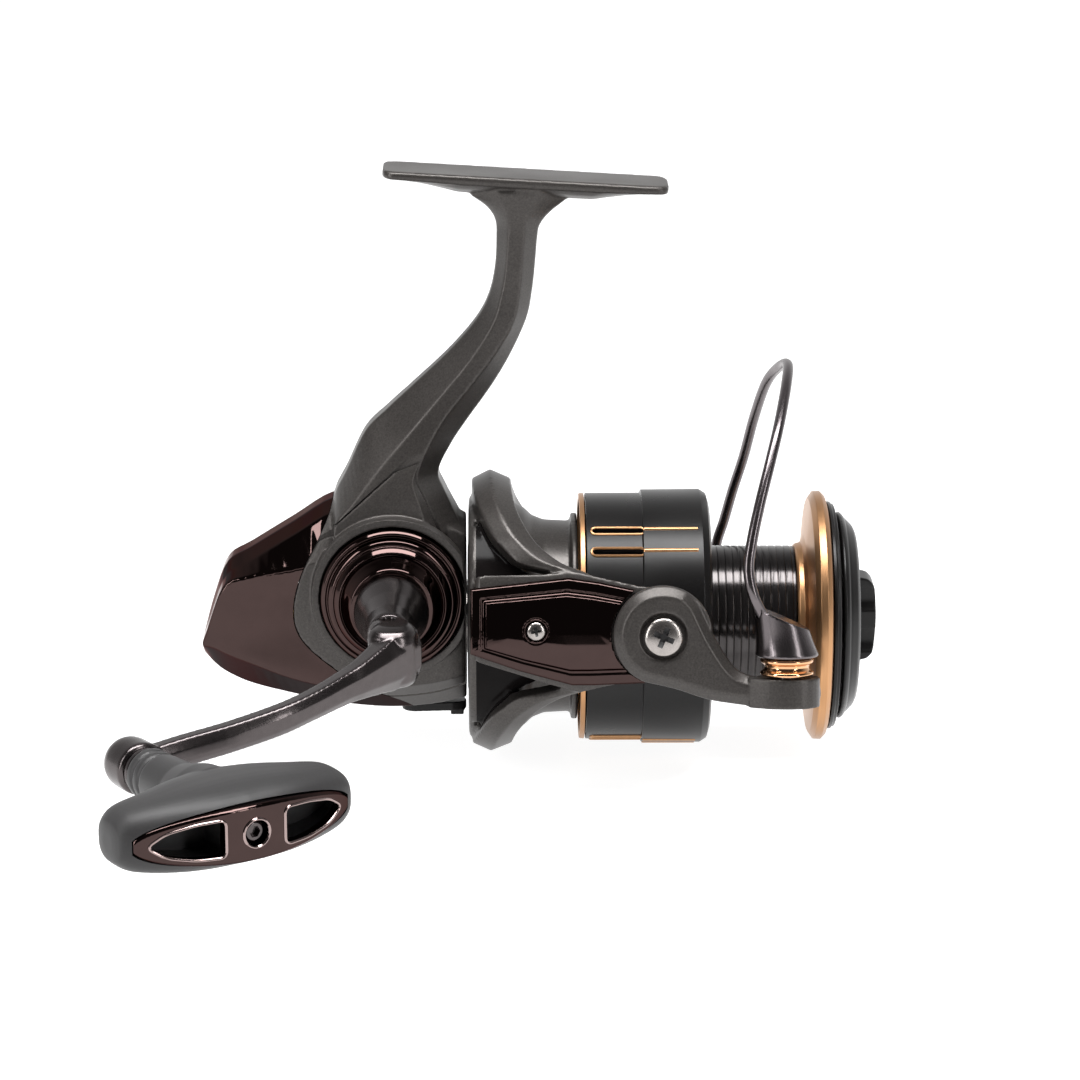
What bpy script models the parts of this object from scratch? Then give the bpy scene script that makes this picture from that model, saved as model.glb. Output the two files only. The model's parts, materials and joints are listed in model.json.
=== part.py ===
"""Front-drag spinning reel for a rod, built from separate pieces on real joints.

Sizes are millimetres in a reel frame: X runs forward along the spool axis, Z points to
the foot, the handle is on -Y, and X = 0 lies under the middle of the foot. One empty
lifts the whole reel frame, so that the world origin is the middle of the foot's seat.
"""

import math

import bmesh
import bpy
from mathutils import Matrix, Vector

for old in list(bpy.data.objects):
    bpy.data.objects.remove(old)

MM = 0.001
GAP = 0.3  # between pieces that touch

# Driving dimensions
FOOT_LENGTH = 60.0
FOOT_WIDTH = 14.0
FOOT_TILT = math.radians(3.4)  # the spool axis points a little away from the rod
FOOT_HEIGHT = 96.9  # spool axis to the middle of the foot's seat
HANDLE_X = -28.4
HANDLE_Z = 8.8
HINGE_H = 49.5  # handle hinge pin, measured out from the centre plane
FOLD_REST = math.radians(33.7)  # the handle rests part folded outwards
BOSS = (-64.0, -7.9, -11.0)  # knob axle's boss from the hinge pin, handle unfolded
ROTOR_TILT = math.radians(-10.0)  # rest angle of the rotor about the spool axis
PIVOT_X = 28.2  # bail pivot
ARM_INNER_R = 28.5
ARM_OUTER_R = 33.1
ROLLER_X = 53.9
ROLLER_Y = -36.0
COVER_SCREW = (1.8, 0, 0.8)  # middle of each arm cover's screw
WORM_Z = -8.0
WORM_JOURNAL_R = 1.35
WORM_R = 2.5
PAWL_AT = (-51.2, 0, 0)
GUIDE_RODS = (("near", -6.6), ("far", 6.6))
GUIDE_ROD_Z = -4.2
GUIDE_ROD_R = 0.9
SHAFT_R = 2.25
SHAFT_BORE = 2.6  # in everything that slides or turns on the shaft

# Gears
DRIVE_TEETH = 40
PINION_TEETH = 8
PINION_PITCH_R = 3.9
MESH_DX = 8.5  # from the handle axis to the pinion mesh, along X
HELIX = (PINION_PITCH_R * DRIVE_TEETH / PINION_TEETH - MESH_DX) / HANDLE_Z  # tangent
TOOTH_FOOT = (-5.0, 0.36)  # a drive tooth's place along Y and half width, where it joins the gear
TOOTH_TIP = (-4.0, 0.18)
TOOTH_REACH = 1.2  # half length of a drive tooth
SPUR_TEETH = 15
WORM_GEAR_TEETH = 16
SPUR_MODULE = -WORM_Z * 2 / (SPUR_TEETH + WORM_GEAR_TEETH)


# Materials ------------------------------------------------------------------


def material(name, colour, roughness, metallic):
    made = bpy.data.materials.new(name)
    made.use_nodes = True
    shader = made.node_tree.nodes["Principled BSDF"]
    shader.inputs["Base Color"].default_value = (*colour, 1)
    shader.inputs["Roughness"].default_value = roughness
    shader.inputs["Metallic"].default_value = metallic
    return made


GUNMETAL = material("gunmetal", (0.075, 0.068, 0.060), 0.42, 0.6)
BLACK_CHROME = material("black_chrome", (0.16, 0.115, 0.105), 0.07, 1.0)
DARK_STEEL = material("dark_steel", (0.12, 0.11, 0.11), 0.2, 1.0)
SATIN_BLACK = material("satin_black", (0.030, 0.028, 0.028), 0.35, 0.7)
GOLD = material("gold", (0.55, 0.27, 0.10), 0.3, 1.0)
STEEL = material("steel", (0.55, 0.52, 0.50), 0.2, 1.0)
BRASS = material("brass", (0.60, 0.42, 0.18), 0.35, 1.0)
RUBBER = material("soft_grip", (0.075, 0.072, 0.078), 0.65, 0.0)
FELT = material("drag_felt", (0.20, 0.19, 0.18), 0.9, 0.0)
PLASTIC = material("black_plastic", (0.03, 0.03, 0.032), 0.5, 0.0)


# Frames ---------------------------------------------------------------------


def empty(name, place, parent=None, turn=0.0, axis="X"):
    made = bpy.data.objects.new(name, None)
    made.matrix_local = Matrix.Translation(Vector(place) * MM) @ Matrix.Rotation(turn, 4, axis)
    bpy.context.scene.collection.objects.link(made)
    made.parent = parent
    return made


REEL = empty("reel_frame", (0, 0, -FOOT_HEIGHT))
FOOT = empty("foot_frame", (0, 0, FOOT_HEIGHT), REEL, FOOT_TILT, "Y")
DRIVE = empty("drive_axis", (HANDLE_X, 0, HANDLE_Z), REEL)
FOLD = empty("fold_axis", (0, -HINGE_H, 0), DRIVE, FOLD_REST, "Z")
KNOB = empty("knob_axis", BOSS, FOLD)
ROTOR = empty("rotor_axis", (0, 0, 0), REEL, ROTOR_TILT, "X")
BAIL = empty("bail_axis", (PIVOT_X, 0, 0), ROTOR)
ROLLER = empty("roller_axis", (ROLLER_X - PIVOT_X, ROLLER_Y, 0), BAIL)
WORM = empty("worm_axis", (0, 0, WORM_Z), REEL)
SHAFT = empty("shaft_axis", (0, 0, 0), REEL)


# Modelling helpers ----------------------------------------------------------


def add(name, bm, parent, finish, cutter=False, smooth=True):
    bmesh.ops.recalc_face_normals(bm, faces=bm.faces)
    mesh = bpy.data.meshes.new(name)
    bm.to_mesh(mesh)
    bm.free()
    made = bpy.data.objects.new(name, mesh)
    bpy.context.scene.collection.objects.link(made)
    made.parent = parent
    if cutter:
        made.hide_render = True
        made.display_type = "WIRE"
    else:
        mesh.materials.append(finish)
    if smooth:
        mesh.shade_smooth()
        mesh.set_sharp_from_angle(angle=math.radians(32))
    return made


def loft(sections, closed=False):
    """A closed tube through rings of points that all have the same count."""
    bm = bmesh.new()
    rings = [[bm.verts.new(Vector(p) * MM) for p in ring] for ring in sections]
    count = len(rings[0])
    pairs = list(zip(rings, rings[1:]))
    if closed:
        pairs.append((rings[-1], rings[0]))
    for low, high in pairs:
        for i in range(count):
            j = (i + 1) % count
            bm.faces.new((low[i], low[j], high[j], high[i]))
    if not closed:
        bm.faces.new(rings[0])
        bm.faces.new(rings[-1])
    return bm


def turned(profile, axis="X", steps=22, at=(0, 0, 0)):
    """A body turned about an axis; the closed profile lists (place along axis, radius)."""
    sections = []
    for k in range(steps):
        angle = math.tau * k / steps
        across = (math.cos(angle), math.sin(angle))
        ring = []
        for along, radius in profile:
            u, v = radius * across[0], radius * across[1]
            point = {"X": (along, u, v), "Y": (v, along, u), "Z": (u, v, along)}[axis]
            ring.append(tuple(a + b for a, b in zip(point, at)))
        sections.append(ring)
    bm = loft(sections, closed=True)
    bmesh.ops.remove_doubles(bm, verts=bm.verts, dist=1e-7)
    return bm


def ring_profile(low, high, outer, inner, chamfer=0.3):
    """A plain ring, or a disc when inner is 0, with small chamfers on its outer edges."""
    return [
        (low, inner),
        (low, outer - chamfer),
        (low + chamfer, outer),
        (high - chamfer, outer),
        (high, outer - chamfer),
        (high, inner),
    ]


def prism(outline, low, high, plane="XZ"):
    """An outline in a plane, pushed along the axis that the plane leaves out."""

    def place(p, depth):
        return {"XZ": (p[0], depth, p[1]), "XY": (p[0], p[1], depth), "YZ": (depth, p[0], p[1])}[plane]

    return loft([[place(p, low) for p in outline], [place(p, high) for p in outline]])


def box(low, high):
    outline = [(low[0], low[1]), (high[0], low[1]), (high[0], high[1]), (low[0], high[1])]
    return prism(outline, low[2], high[2], "XY")


def circle(cx, cy, radius, steps=16, start=0.0, sweep=math.tau):
    count = steps if sweep >= math.tau else steps + 1
    return [
        (
            cx + radius * math.cos(start + sweep * i / steps),
            cy + radius * math.sin(start + sweep * i / steps),
        )
        for i in range(count)
    ]


def boolean(target, operation, *tools):
    for tool in tools:
        tool.hide_render = True
        tool.display_type = "WIRE"
        change = target.modifiers.new(operation.lower() + "_" + tool.name, "BOOLEAN")
        change.operation = operation
        change.solver = "EXACT"
        change.object = tool


def cutter(name, bm, parent):
    return add(name, bm, parent, None, cutter=True, smooth=False)


# Main casting, side cover and rear cover --------------------------------------

# Housing sections along X: top, bottom, half width, height of the lower crease and how far
# up the side is flat, as a share of the height above the crease
HOUSING = [
    (-12.9, 22.5, -16.6, 13.6, -9.0, 0.45),
    (-20.0, 26.0, -18.0, 14.5, -10.5, 0.45),
    (-30.0, 28.7, -18.6, 14.5, -11.6, 0.50),
    (-41.0, 27.5, -17.6, 13.8, -11.6, 0.70),
    (-50.0, 22.1, -15.8, 12.8, -10.0, 0.76),
    (-59.0, 16.5, -13.6, 11.6, -6.8, 0.82),
    (-64.1, 13.3, -11.4, 10.7, -5.0, 0.84),
    (-67.0, 6.2, -9.4, 9.8, -3.9, 0.80),
    (-69.6, -3.0, -6.7, 7.8, -4.2, 0.60),
]
# Stem sections from the foot down: rear edge, rear and front lines of the side facet,
# front edge (each X, Z), half width at the facet and at the edges
STEM = [
    ((-11.6, 93.0), (-5.5, 94.2), (3.0, 94.2), (8.4, 92.0), 6.4, 3.5),
    ((-8.2, 90.4), (-4.0, 90.2), (0.7, 90.0), (5.2, 89.3), 6.0, 2.6),
    ((-6.4, 87.4), (-3.6, 87.0), (-0.3, 87.0), (3.0, 86.5), 5.8, 2.0),
    ((-6.2, 83.4), (-3.8, 83.4), (-0.5, 83.5), (2.4, 83.6), 5.8, 1.8),
    ((-6.5, 77.4), (-4.3, 77.0), (-1.0, 77.3), (1.9, 77.6), 6.0, 1.8),
    ((-7.8, 71.4), (-5.4, 71.0), (-1.6, 71.6), (1.3, 72.2), 6.2, 1.8),
    ((-10.6, 66.0), (-7.2, 65.6), (-2.8, 66.3), (0.1, 66.2), 6.6, 1.8),
    ((-16.6, 59.0), (-12.0, 58.0), (-6.8, 59.5), (-3.4, 58.4), 7.2, 2.0),
    ((-24.0, 52.0), (-18.6, 50.0), (-12.0, 52.8), (-7.4, 51.6), 8.0, 2.2),
    ((-29.6, 46.8), (-25.6, 41.8), (-17.4, 46.2), (-12.4, 44.6), 9.2, 2.6),
    ((-34.3, 42.0), (-31.4, 35.0), (-21.4, 39.0), (-16.0, 39.2), 10.5, 3.0),
    ((-38.2, 33.8), (-36.6, 28.6), (-24.0, 33.4), (-18.7, 33.4), 12.0, 3.4),
    ((-41.2, 27.0), (-40.8, 23.0), (-22.6, 28.4), (-17.4, 29.2), 13.2, 4.0),
    ((-40.6, 17.0), (-39.0, 16.0), (-20.0, 20.0), (-14.0, 22.0), 13.4, 6.0),
]
# Joint line between the casting and the rear cover, from the top round to the bottom
REAR_LINE = [
    (-41.3, 31.0),
    (-41.3, 27.0),
    (-44.0, 20.6),
    (-47.2, 14.6),
    (-49.3, 8.0),
    (-49.4, 2.0),
    (-46.8, -2.8),
    (-40.6, -8.0),
    (-33.9, -12.5),
    (-27.0, -16.2),
    (-21.5, -21.0),
]
COVER_FRONT = -13.2
COVER_PLANE = 10.4  # the side cover is what lies outside this half width
CAP_R = 15.3


def housing_ring(x, top, bottom, half, crease, flat, wall=0.0):
    width = half - wall
    right = [
        (3.0, top - wall),
        (half * 0.62 - wall * 0.8, top - wall - min(1.9, 0.25 * (top - crease))),
        (width, crease + max(flat * (top - crease - wall), 0.4)),
        (width, crease),
        (half * 0.42, bottom + wall),
    ]
    left = [(-y, z) for y, z in reversed(right)]
    return [(x, y, z) for y, z in right + left]


def stem_ring(rear, rear_facet, front_facet, front, half, edge):
    side = [(rear, edge), (rear_facet, half), (front_facet, half), (front, edge)]
    near = [(p[0], -y, p[1]) for p, y in side]
    far = [(p[0], y, p[1]) for p, y in reversed(side)]
    return near + far


def foot_plate():
    """The seat is flat; the underside has a keel that deepens towards the stem."""
    half = FOOT_LENGTH / 2
    stations = [(half, 0.55, 1.7), (half - 1.2, 0.86, 2.2), (half - 4, 1.0, 2.4), (half - 16, 1.0, 4.2)]
    stations = [(-x, w, d) for x, w, d in stations] + [(x, w, d) for x, w, d in reversed(stations)]
    rings = []
    for x, share, depth in stations:
        w = FOOT_WIDTH / 2 * share
        right = [(w - 0.5, 0.0), (w, -0.5), (w, -1.9), (w * 0.45, -depth)]
        left = [(-y, z) for y, z in reversed(right)]
        rings.append([(x, y, z) for y, z in right + left])
    return loft(rings)


def rear_region(shift):
    outline = [(x + shift, z) for x, z in REAR_LINE] + [(-90.0, -21.0), (-90.0, 31.0)]
    return prism(outline, -30, 30)


def side_region(shift, front=-11.0):
    outline = [
        (front, 52.0),
        (-22.4 + shift, 40.4 - shift),
        (-41.8, 23.0 - shift),
        (-60.0, 6.0),
        (-60.0, -30.0),
        (front, -30.0),
    ]
    return prism(outline, -30, -COVER_PLANE - shift)


def cavity():
    """The gearbox space: it opens to the rear and to the side cover."""
    rings = []
    for row in HOUSING[1:-2]:
        rings.append(housing_ring(*row, wall=2.4))
    rings[0] = [(-17.5, y, z) for _, y, z in rings[0]]
    return loft(rings)


stem = cutter("stem_form", loft([stem_ring(*row) for row in STEM]), REEL)
foot = cutter("foot_form", foot_plate(), FOOT)
gearbox = cutter("gearbox_space", cavity(), REEL)

body_frame = add("body_frame", loft([housing_ring(*row) for row in HOUSING]), REEL, GUNMETAL)
boolean(body_frame, "UNION", stem, foot)
boolean(body_frame, "DIFFERENCE", cutter("rear_cut", rear_region(0.0), REEL))
gear_space = turned(ring_profile(-12, -3.2, 14.0, 0), "Y", 28, (HANDLE_X, 0, HANDLE_Z))
boolean(
    body_frame,
    "DIFFERENCE",
    cutter("side_cut", side_region(0.0), REEL),
    cutter("gear_space", gear_space, REEL),
    gearbox,
    cutter("front_bore", turned(ring_profile(-20, -10, 8.3, 0), steps=20), REEL),
    cutter("far_bore", turned(ring_profile(5, 30, 6.3, 0), "Y", 20, (HANDLE_X, 0, HANDLE_Z)), REEL),
)

rear_cover = add("rear_cover", loft([housing_ring(*row) for row in HOUSING]), REEL, BLACK_CHROME)
boolean(rear_cover, "INTERSECT", cutter("rear_keep", rear_region(-GAP), REEL))
boolean(rear_cover, "DIFFERENCE", gearbox)

side_cover = add("side_cover", loft([housing_ring(*row) for row in HOUSING]), REEL, GUNMETAL)
rim_outline = [(min(x, COVER_FRONT), z) for x, z in circle(HANDLE_X, HANDLE_Z, 17.3, 48)]
rim = cutter("cap_rim", prism(rim_outline, -16.4, -12.8), REEL)
cap_seat = cutter(
    "cap_seat",
    turned([(-30, 0), (-30, CAP_R + GAP), (-14.6, CAP_R + GAP), (-14.6, 9.0), (0, 9.0), (0, 0)],
           "Y", 28, (HANDLE_X, 0, HANDLE_Z)),
    REEL,
)
boolean(side_cover, "UNION", stem)
boolean(side_cover, "DIFFERENCE", cutter("side_rear_cut", rear_region(0.0), REEL), gearbox)
boolean(side_cover, "INTERSECT", cutter("side_keep", side_region(GAP, COVER_FRONT), REEL))
boolean(side_cover, "UNION", rim)
boolean(side_cover, "DIFFERENCE", cap_seat)

# Caps, bearings and screws of the body ----------------------------------------

AT_HANDLE = (HANDLE_X, 0, HANDLE_Z)
CAP_STEPS = [
    (-15.0, 15.3),
    (-17.6, 15.3),
    (-18.3, 14.7),
    (-18.4, 14.1),
    (-19.6, 13.7),
    (-20.0, 12.9),
    (-20.6, 12.4),
    (-21.6, 11.4),
    (-22.1, 10.4),
    (-24.4, 9.1),
    (-25.0, 8.7),
]
cap_inside = [(-15.0, 8.6), (-10.8, 8.6), (-10.8, 7.7), (-16.0, 7.7), (-16.0, 4.2)]
ring_cap = turned([(-25.0, 4.2)] + CAP_STEPS[::-1] + cap_inside, "Y", 26, AT_HANDLE)
add("ring_cap", ring_cap, REEL, BLACK_CHROME)
add("drive_bearing_near", turned(ring_profile(-15.6, -11.6, 7.4, 3.85), "Y", 16, AT_HANDLE), REEL, STEEL)
add("drive_bearing_far", turned(ring_profile(9.4, 12.9, 6.0, 3.85), "Y", 16, AT_HANDLE), REEL, STEEL)
far_cap = [
    (13.3, 0), (13.3, 6.0), (15.1, 6.0), (15.1, 9.4), (16.4, 9.4), (17.2, 8.6), (18.4, 7.4), (18.9, 5.2),
    (18.4, 4.8), (18.4, 0),
]
add("far_side_cap", turned(far_cap, "Y", 26, AT_HANDLE), REEL, BLACK_CHROME)


def pan_head(radius, height):
    """Head profile along its axis: flat underside at 0, domed top."""
    return [
        (0.0, radius),
        (height * 0.35, radius),
        (height * 0.75, radius * 0.8),
        (height, radius * 0.4),
        (height, 0),
    ]


SCREW_POCKET = 11.0  # floor of each screw's pocket, out from the centre plane
BODY_SCREWS = [(-18.5, -12.0), (-43.0, 8.0), (-19.5, 20.5)]
for number, (x, z) in enumerate(BODY_SCREWS, 1):
    # the casting's far wall leans a little, so each head sits in a shallow round pocket
    pocket = turned(ring_profile(SCREW_POCKET, 30.0, 2.4, 0), "Y", 12, (x, 0, z))
    shank_hole = turned(ring_profile(2.0, 30.0, 1.3, 0, 0.1), "Y", 10, (x, 0, z))
    boolean(
        body_frame,
        "DIFFERENCE",
        cutter(f"screw_pocket_{number}", pocket, REEL),
        cutter(f"screw_hole_{number}", shank_hole, REEL),
    )
    under_head = SCREW_POCKET + GAP
    shank = [(6.5, 0), (6.5, 0.95), (SCREW_POCKET, 0.95), (under_head, 0.95)]
    head = [(under_head + a, r) for a, r in pan_head(2.0, 1.3)]
    add(f"body_screw_{number}", turned(shank + head, "Y", 10, (x, 0, z)), REEL, STEEL)

clutch_housing = [
    (-12.6, 10.7), (-12.6, 15.6), (-4.4, 15.6), (-3.4, 14.6), (-3.4, 5.2), (-4.4, 5.2), (-4.4, 10.7),
]
add("clutch_housing", turned(clutch_housing, steps=26), REEL, PLASTIC)
add("roller_clutch", turned(ring_profile(-10.2, -4.8, 10.3, 4.6), steps=20), REEL, STEEL)
add("pinion_bearing", turned(ring_profile(-14.4, -10.6, 7.9, 4.6), steps=20), REEL, STEEL)
for end, x in (("front", -20.6), ("rear", -60.6)):
    bush = turned(ring_profile(x, x + 2.0, 2.4, 1.65), steps=14, at=(0, 0, WORM_Z))
    add(f"worm_bush_{end}", bush, REEL, BRASS)
for side, y in GUIDE_RODS:
    rod = turned(ring_profile(-61.0, -34.5, GUIDE_ROD_R, 0, 0.2), steps=10, at=(0, y, GUIDE_ROD_Z))
    add(f"guide_rod_{side}", rod, REEL, STEEL)

# Anti-reverse lever under the body
LEVER_PIVOT = (-24.0, 0.0, -19.6)
lever_outline = circle(0, 0, 3.0, 10, math.pi / 2, math.pi)
lever_outline += [(8.0, -2.4), (10.6, -1.7), (11.0, 0.0), (10.6, 1.7), (8.0, 2.4)]
LEVER = empty("lever_axis", LEVER_PIVOT, REEL)
lever = add("anti_reverse_lever", prism(lever_outline, -1.2, 0.7, "XY"), LEVER, SATIN_BLACK)
boolean(lever, "UNION", cutter("lever_thumb", box((7.6, -2.0, -2.2), (10.4, 2.0, -0.9)), LEVER))

# Gear train -------------------------------------------------------------------


def gear_outline(teeth, pitch_r, dedendum, addendum, phase=0.0, base_share=0.62, tip_share=0.3):
    root, tip = pitch_r - dedendum, pitch_r + addendum
    points = []
    pitch = math.tau / teeth
    for k in range(teeth):
        for share, radius in ((-base_share, root), (-tip_share, tip), (tip_share, tip), (base_share, root)):
            angle = pitch * (k + share / 2) + phase
            points.append((radius * math.cos(angle), radius * math.sin(angle)))
    return points


def twisted(outline, low, high, turn_per_mm, steps):
    rings = []
    for i in range(steps + 1):
        x = low + (high - low) * i / steps
        c, s = math.cos(turn_per_mm * x), math.sin(turn_per_mm * x)
        rings.append([(x, u * c - v * s, u * s + v * c) for u, v in outline])
    return rings


# The drive gear's teeth are straight bars that lie along the pinion's helix in mesh.
drive_gear = add(
    "drive_gear",
    turned(
        [(-40.0, 0), (-40.0, 3.4), (-8.6, 3.4), (-8.6, 5.4), (-6.4, 10.2), (-6.4, 13.6), (-4.7, 13.6),
         (-4.7, 10.4), (-5.6, 5.4), (-5.6, 3.4), (12.6, 3.4), (12.6, 0)],
        "Y",
        28,
    ),
    DRIVE,
    BRASS,
)


def drive_teeth():
    along = Vector((1.0, 0, -HELIX)).normalized()
    across = Vector((HELIX, 0, 1.0)).normalized()
    middle = Vector((MESH_DX, 0, -HANDLE_Z))
    bm = bmesh.new()
    for k in range(DRIVE_TEETH):
        turn = Matrix.Rotation(math.tau * (k + 0.25) / DRIVE_TEETH, 4, "Y")
        lower, upper = [], []
        for a, b in ((-1, -1), (1, -1), (1, 1), (-1, 1)):
            for ring, y, half in ((lower, *TOOTH_FOOT), (upper, *TOOTH_TIP)):
                corner = middle + along * (a * TOOTH_REACH) + across * (b * half) + Vector((0, y, 0))
                ring.append(bm.verts.new((turn @ corner) * MM))
        bm.faces.new(lower)
        bm.faces.new(upper)
        for i in range(4):
            j = (i + 1) % 4
            bm.faces.new((lower[i], lower[j], upper[j], upper[i]))
    return bm


boolean(drive_gear, "UNION", cutter("drive_gear_teeth", drive_teeth(), DRIVE))

pinion_outline = gear_outline(PINION_TEETH, PINION_PITCH_R, 0.6, 0.5, 0.0, 0.5, 0.2)
pinion_rings = twisted(pinion_outline, -24.0, -17.6, HELIX / PINION_PITCH_R, 9)
pinion_gear = add("pinion_gear", loft(pinion_rings), ROTOR, BRASS)
pinion_tube = [(-17.9, 0), (-17.9, 3.9), (-13.0, 3.9), (-12.9, 4.25), (6.6, 4.25), (6.6, 0)]
SPUR_PHASE = -math.pi / 2 - ROTOR_TILT - math.pi / SPUR_TEETH  # a tooth gap faces the worm gear
spur_outline = gear_outline(SPUR_TEETH, SPUR_MODULE * SPUR_TEETH / 2, 0.66, 0.42, SPUR_PHASE)
pinion_rear = loft(twisted(spur_outline, -28.6, -24.6, 0, 1))
boolean(
    pinion_gear,
    "UNION",
    cutter("pinion_tube", turned(pinion_tube, steps=16), ROTOR),
    cutter("pinion_spur", pinion_rear, ROTOR),
    cutter("pinion_neck", turned(ring_profile(-24.9, -23.7, 3.3, 0, 0.1), steps=16), ROTOR),
)
pinion_bore = turned(ring_profile(-40, 20, SHAFT_BORE, 0), steps=16)
boolean(pinion_gear, "DIFFERENCE", cutter("pinion_bore", pinion_bore, ROTOR))

worm_gear_outline = gear_outline(WORM_GEAR_TEETH, SPUR_MODULE * WORM_GEAR_TEETH / 2, 0.66, 0.42)
worm_gear = add("worm_gear", loft(twisted(worm_gear_outline, -28.2, -25.0, 0, 1)), WORM, BRASS)
worm_gear_bore = turned(ring_profile(-40, 20, 1.75, 0), steps=14)
boolean(worm_gear, "DIFFERENCE", cutter("worm_gear_bore", worm_gear_bore, WORM))


def crossed_grooves(low, high, radius, depth, lead, around=12, per_lead=10):
    """A worm shaft with one right and one left hand groove that cross."""
    steps = round((high - low) / lead * per_lead)
    rings = []
    for i in range(steps + 1):
        x = low + (high - low) * i / steps
        ring = []
        for k in range(around):
            angle = math.tau * k / around
            phase = math.tau * x / lead
            dip = max(math.cos(angle - phase), math.cos(angle + phase))
            r = radius - depth * max(0.0, (dip - 0.55) / 0.45)
            ring.append((x, r * math.cos(angle), r * math.sin(angle)))
        rings.append(ring)
    journal = circle(0, 0, WORM_JOURNAL_R, around)
    rear = [[(x, *point) for point in journal] for x in (-60.4, low - 0.01)]
    front = [[(x, *point) for point in journal] for x in (high + 0.01, -18.4)]
    return loft(rear + rings + front)


add("worm_shaft", crossed_grooves(-58.2, -34.8, WORM_R, 0.7, 8.0), WORM, STEEL)

main_shaft = [(-56.5, 0), (-56.5, SHAFT_R), (68.6, SHAFT_R), (69.0, 1.9), (69.0, 0)]
add("main_shaft", turned(main_shaft, steps=14), SHAFT, STEEL)
block_outline = [(-8.2, 3.8), (-8.2, -6.4), (-4.4, -11.2), (4.4, -11.2), (8.2, -6.4), (8.2, 3.8)]
block = add("crosswind_block", prism(block_outline, -53.5, -49.0, "YZ"), SHAFT, BRASS)
for name, at, radius in (("shaft", (0, 0, 0), SHAFT_R + GAP), ("worm", (0, 0, WORM_Z), WORM_R + 0.35)):
    hole = turned(ring_profile(-60, -40, radius, 0), steps=14, at=at)
    boolean(block, "DIFFERENCE", cutter(f"block_{name}_hole", hole, SHAFT))
for side, y in GUIDE_RODS:
    hole = turned(ring_profile(-60, -40, GUIDE_ROD_R + 0.35, 0), steps=10, at=(0, y, GUIDE_ROD_Z))
    boolean(block, "DIFFERENCE", cutter(f"block_rod_hole_{side}", hole, SHAFT))
pawl_hole = turned(ring_profile(-20, -9.6, 1.5, 0), "Z", 12, PAWL_AT)
boolean(block, "DIFFERENCE", cutter("pawl_hole", pawl_hole, SHAFT))
pawl = turned([(-11.6, 0), (-11.6, 1.2), (-10.8, 1.2), (-10.8, 0)], "Z", 10, PAWL_AT)
add("pawl", pawl, SHAFT, STEEL)


# Rotor ------------------------------------------------------------------------


def polar(x, radius, degrees, side=1):
    """A point of the rotor; 0 degrees is the near arm and 90 the top."""
    angle = math.radians(degrees)
    return (x, -radius * math.cos(angle) * side, radius * math.sin(angle))


# Arm stations along X: half angle, outer radius, inner radius
ARM = [
    (-10.9, 21.0, 32.2, 24.2),
    (-10.0, 21.4, ARM_OUTER_R, 24.2),
    (2.6, 22.0, ARM_OUTER_R, 24.2),
    (6.0, 22.4, ARM_OUTER_R, ARM_INNER_R),
    (11.0, 22.6, ARM_OUTER_R, ARM_INNER_R),
    (17.0, 20.0, ARM_OUTER_R, ARM_INNER_R),
    (23.0, 17.6, ARM_OUTER_R, ARM_INNER_R),
    (29.0, 16.4, ARM_OUTER_R, ARM_INNER_R),
    (33.0, 14.0, ARM_OUTER_R, ARM_INNER_R),
    (36.0, 9.4, ARM_OUTER_R, ARM_INNER_R),
    (37.6, 4.0, ARM_OUTER_R, ARM_INNER_R),
]
# Brace stations round the rotor: front edge, ridge and rear edge along X, radius of the
# ridge, of the edges and of the inside
BRACE = [
    (16.0, 15.0, 11.6, 8.2, 32.9, 32.6, 28.8),
    (22.0, 13.2, 10.0, 6.6, 33.0, 32.4, 28.6),
    (27.0, 7.4, 2.8, -1.5, 32.8, 31.8, 28.2),
    (34.0, 3.2, -1.4, -5.0, 32.5, 31.0, 26.0),
    (42.0, 0.4, -4.0, -7.8, 32.2, 30.6, 24.4),
    (55.0, -2.0, -6.3, -10.0, 31.9, 30.2, 23.6),
    (70.0, -3.0, -7.4, -11.3, 31.8, 30.0, 23.3),
    (90.0, -3.3, -7.8, -11.7, 31.8, 29.8, 23.2),
]
LOWER_BRACE_SHARE = 0.915  # the lower brace stands less proud
# Recessed web panels between arm and brace: degrees, front end along X
WEB = [(17.0, 4.8), (23.0, 3.4), (28.6, -1.2), (35.2, -5.0), (43.4, -7.6), (53.0, -9.4)]
ROTOR_CUP = [
    (-12.4, 22.4), (-12.4, 25.0), (-12.1, 26.0), (-10.9, 26.0), (-10.7, 24.9), (-2.5, 24.6),
    (1.2, 21.9), (3.7, 20.9), (9.4, 20.6), (9.6, 22.3), (10.9, 22.3), (10.9, 18.8), (4.6, 18.6),
    (4.2, 7.2), (4.2, 4.55), (-1.6, 4.55), (-1.6, 7.6), (1.2, 17.6), (-2.6, 21.4),
]


def arm_form(side):
    rings = []
    for x, half, outer, inner in ARM:
        angles = [half * (k / 3 - 1) for k in range(7)]
        ring = [polar(x, outer, a, side) for a in angles]
        rings.append(ring + [polar(x, inner, a, side) for a in reversed(angles)])
    return loft(rings)


def brace_form(up):
    stations = BRACE + [(180 - row[0], *row[1:]) for row in reversed(BRACE[:-1])]
    rings = []
    for degrees, front, middle, rear, ridge, edge, inner in stations:
        rise = max(0.0, math.sin(math.radians(degrees)) - 0.3) / 0.7
        share = 1.0 if up > 0 else 1 - (1 - LOWER_BRACE_SHARE) * rise
        ring = [(rear, inner), (rear, edge * share), (middle, ridge * share)]
        ring += [(front, edge * share), (front, inner)]
        rings.append([polar(x, r, degrees * up) for x, r in ring])
    return loft(rings)


def web_form(side, up):
    rings = []
    for degrees, front in WEB:
        ring = [(-11.3, 23.9), (-11.3, 26.4), (front, 26.4), (front, 23.9)]
        rings.append([polar(x, r, degrees * up, side) for x, r in ring])
    return loft(rings)


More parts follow.
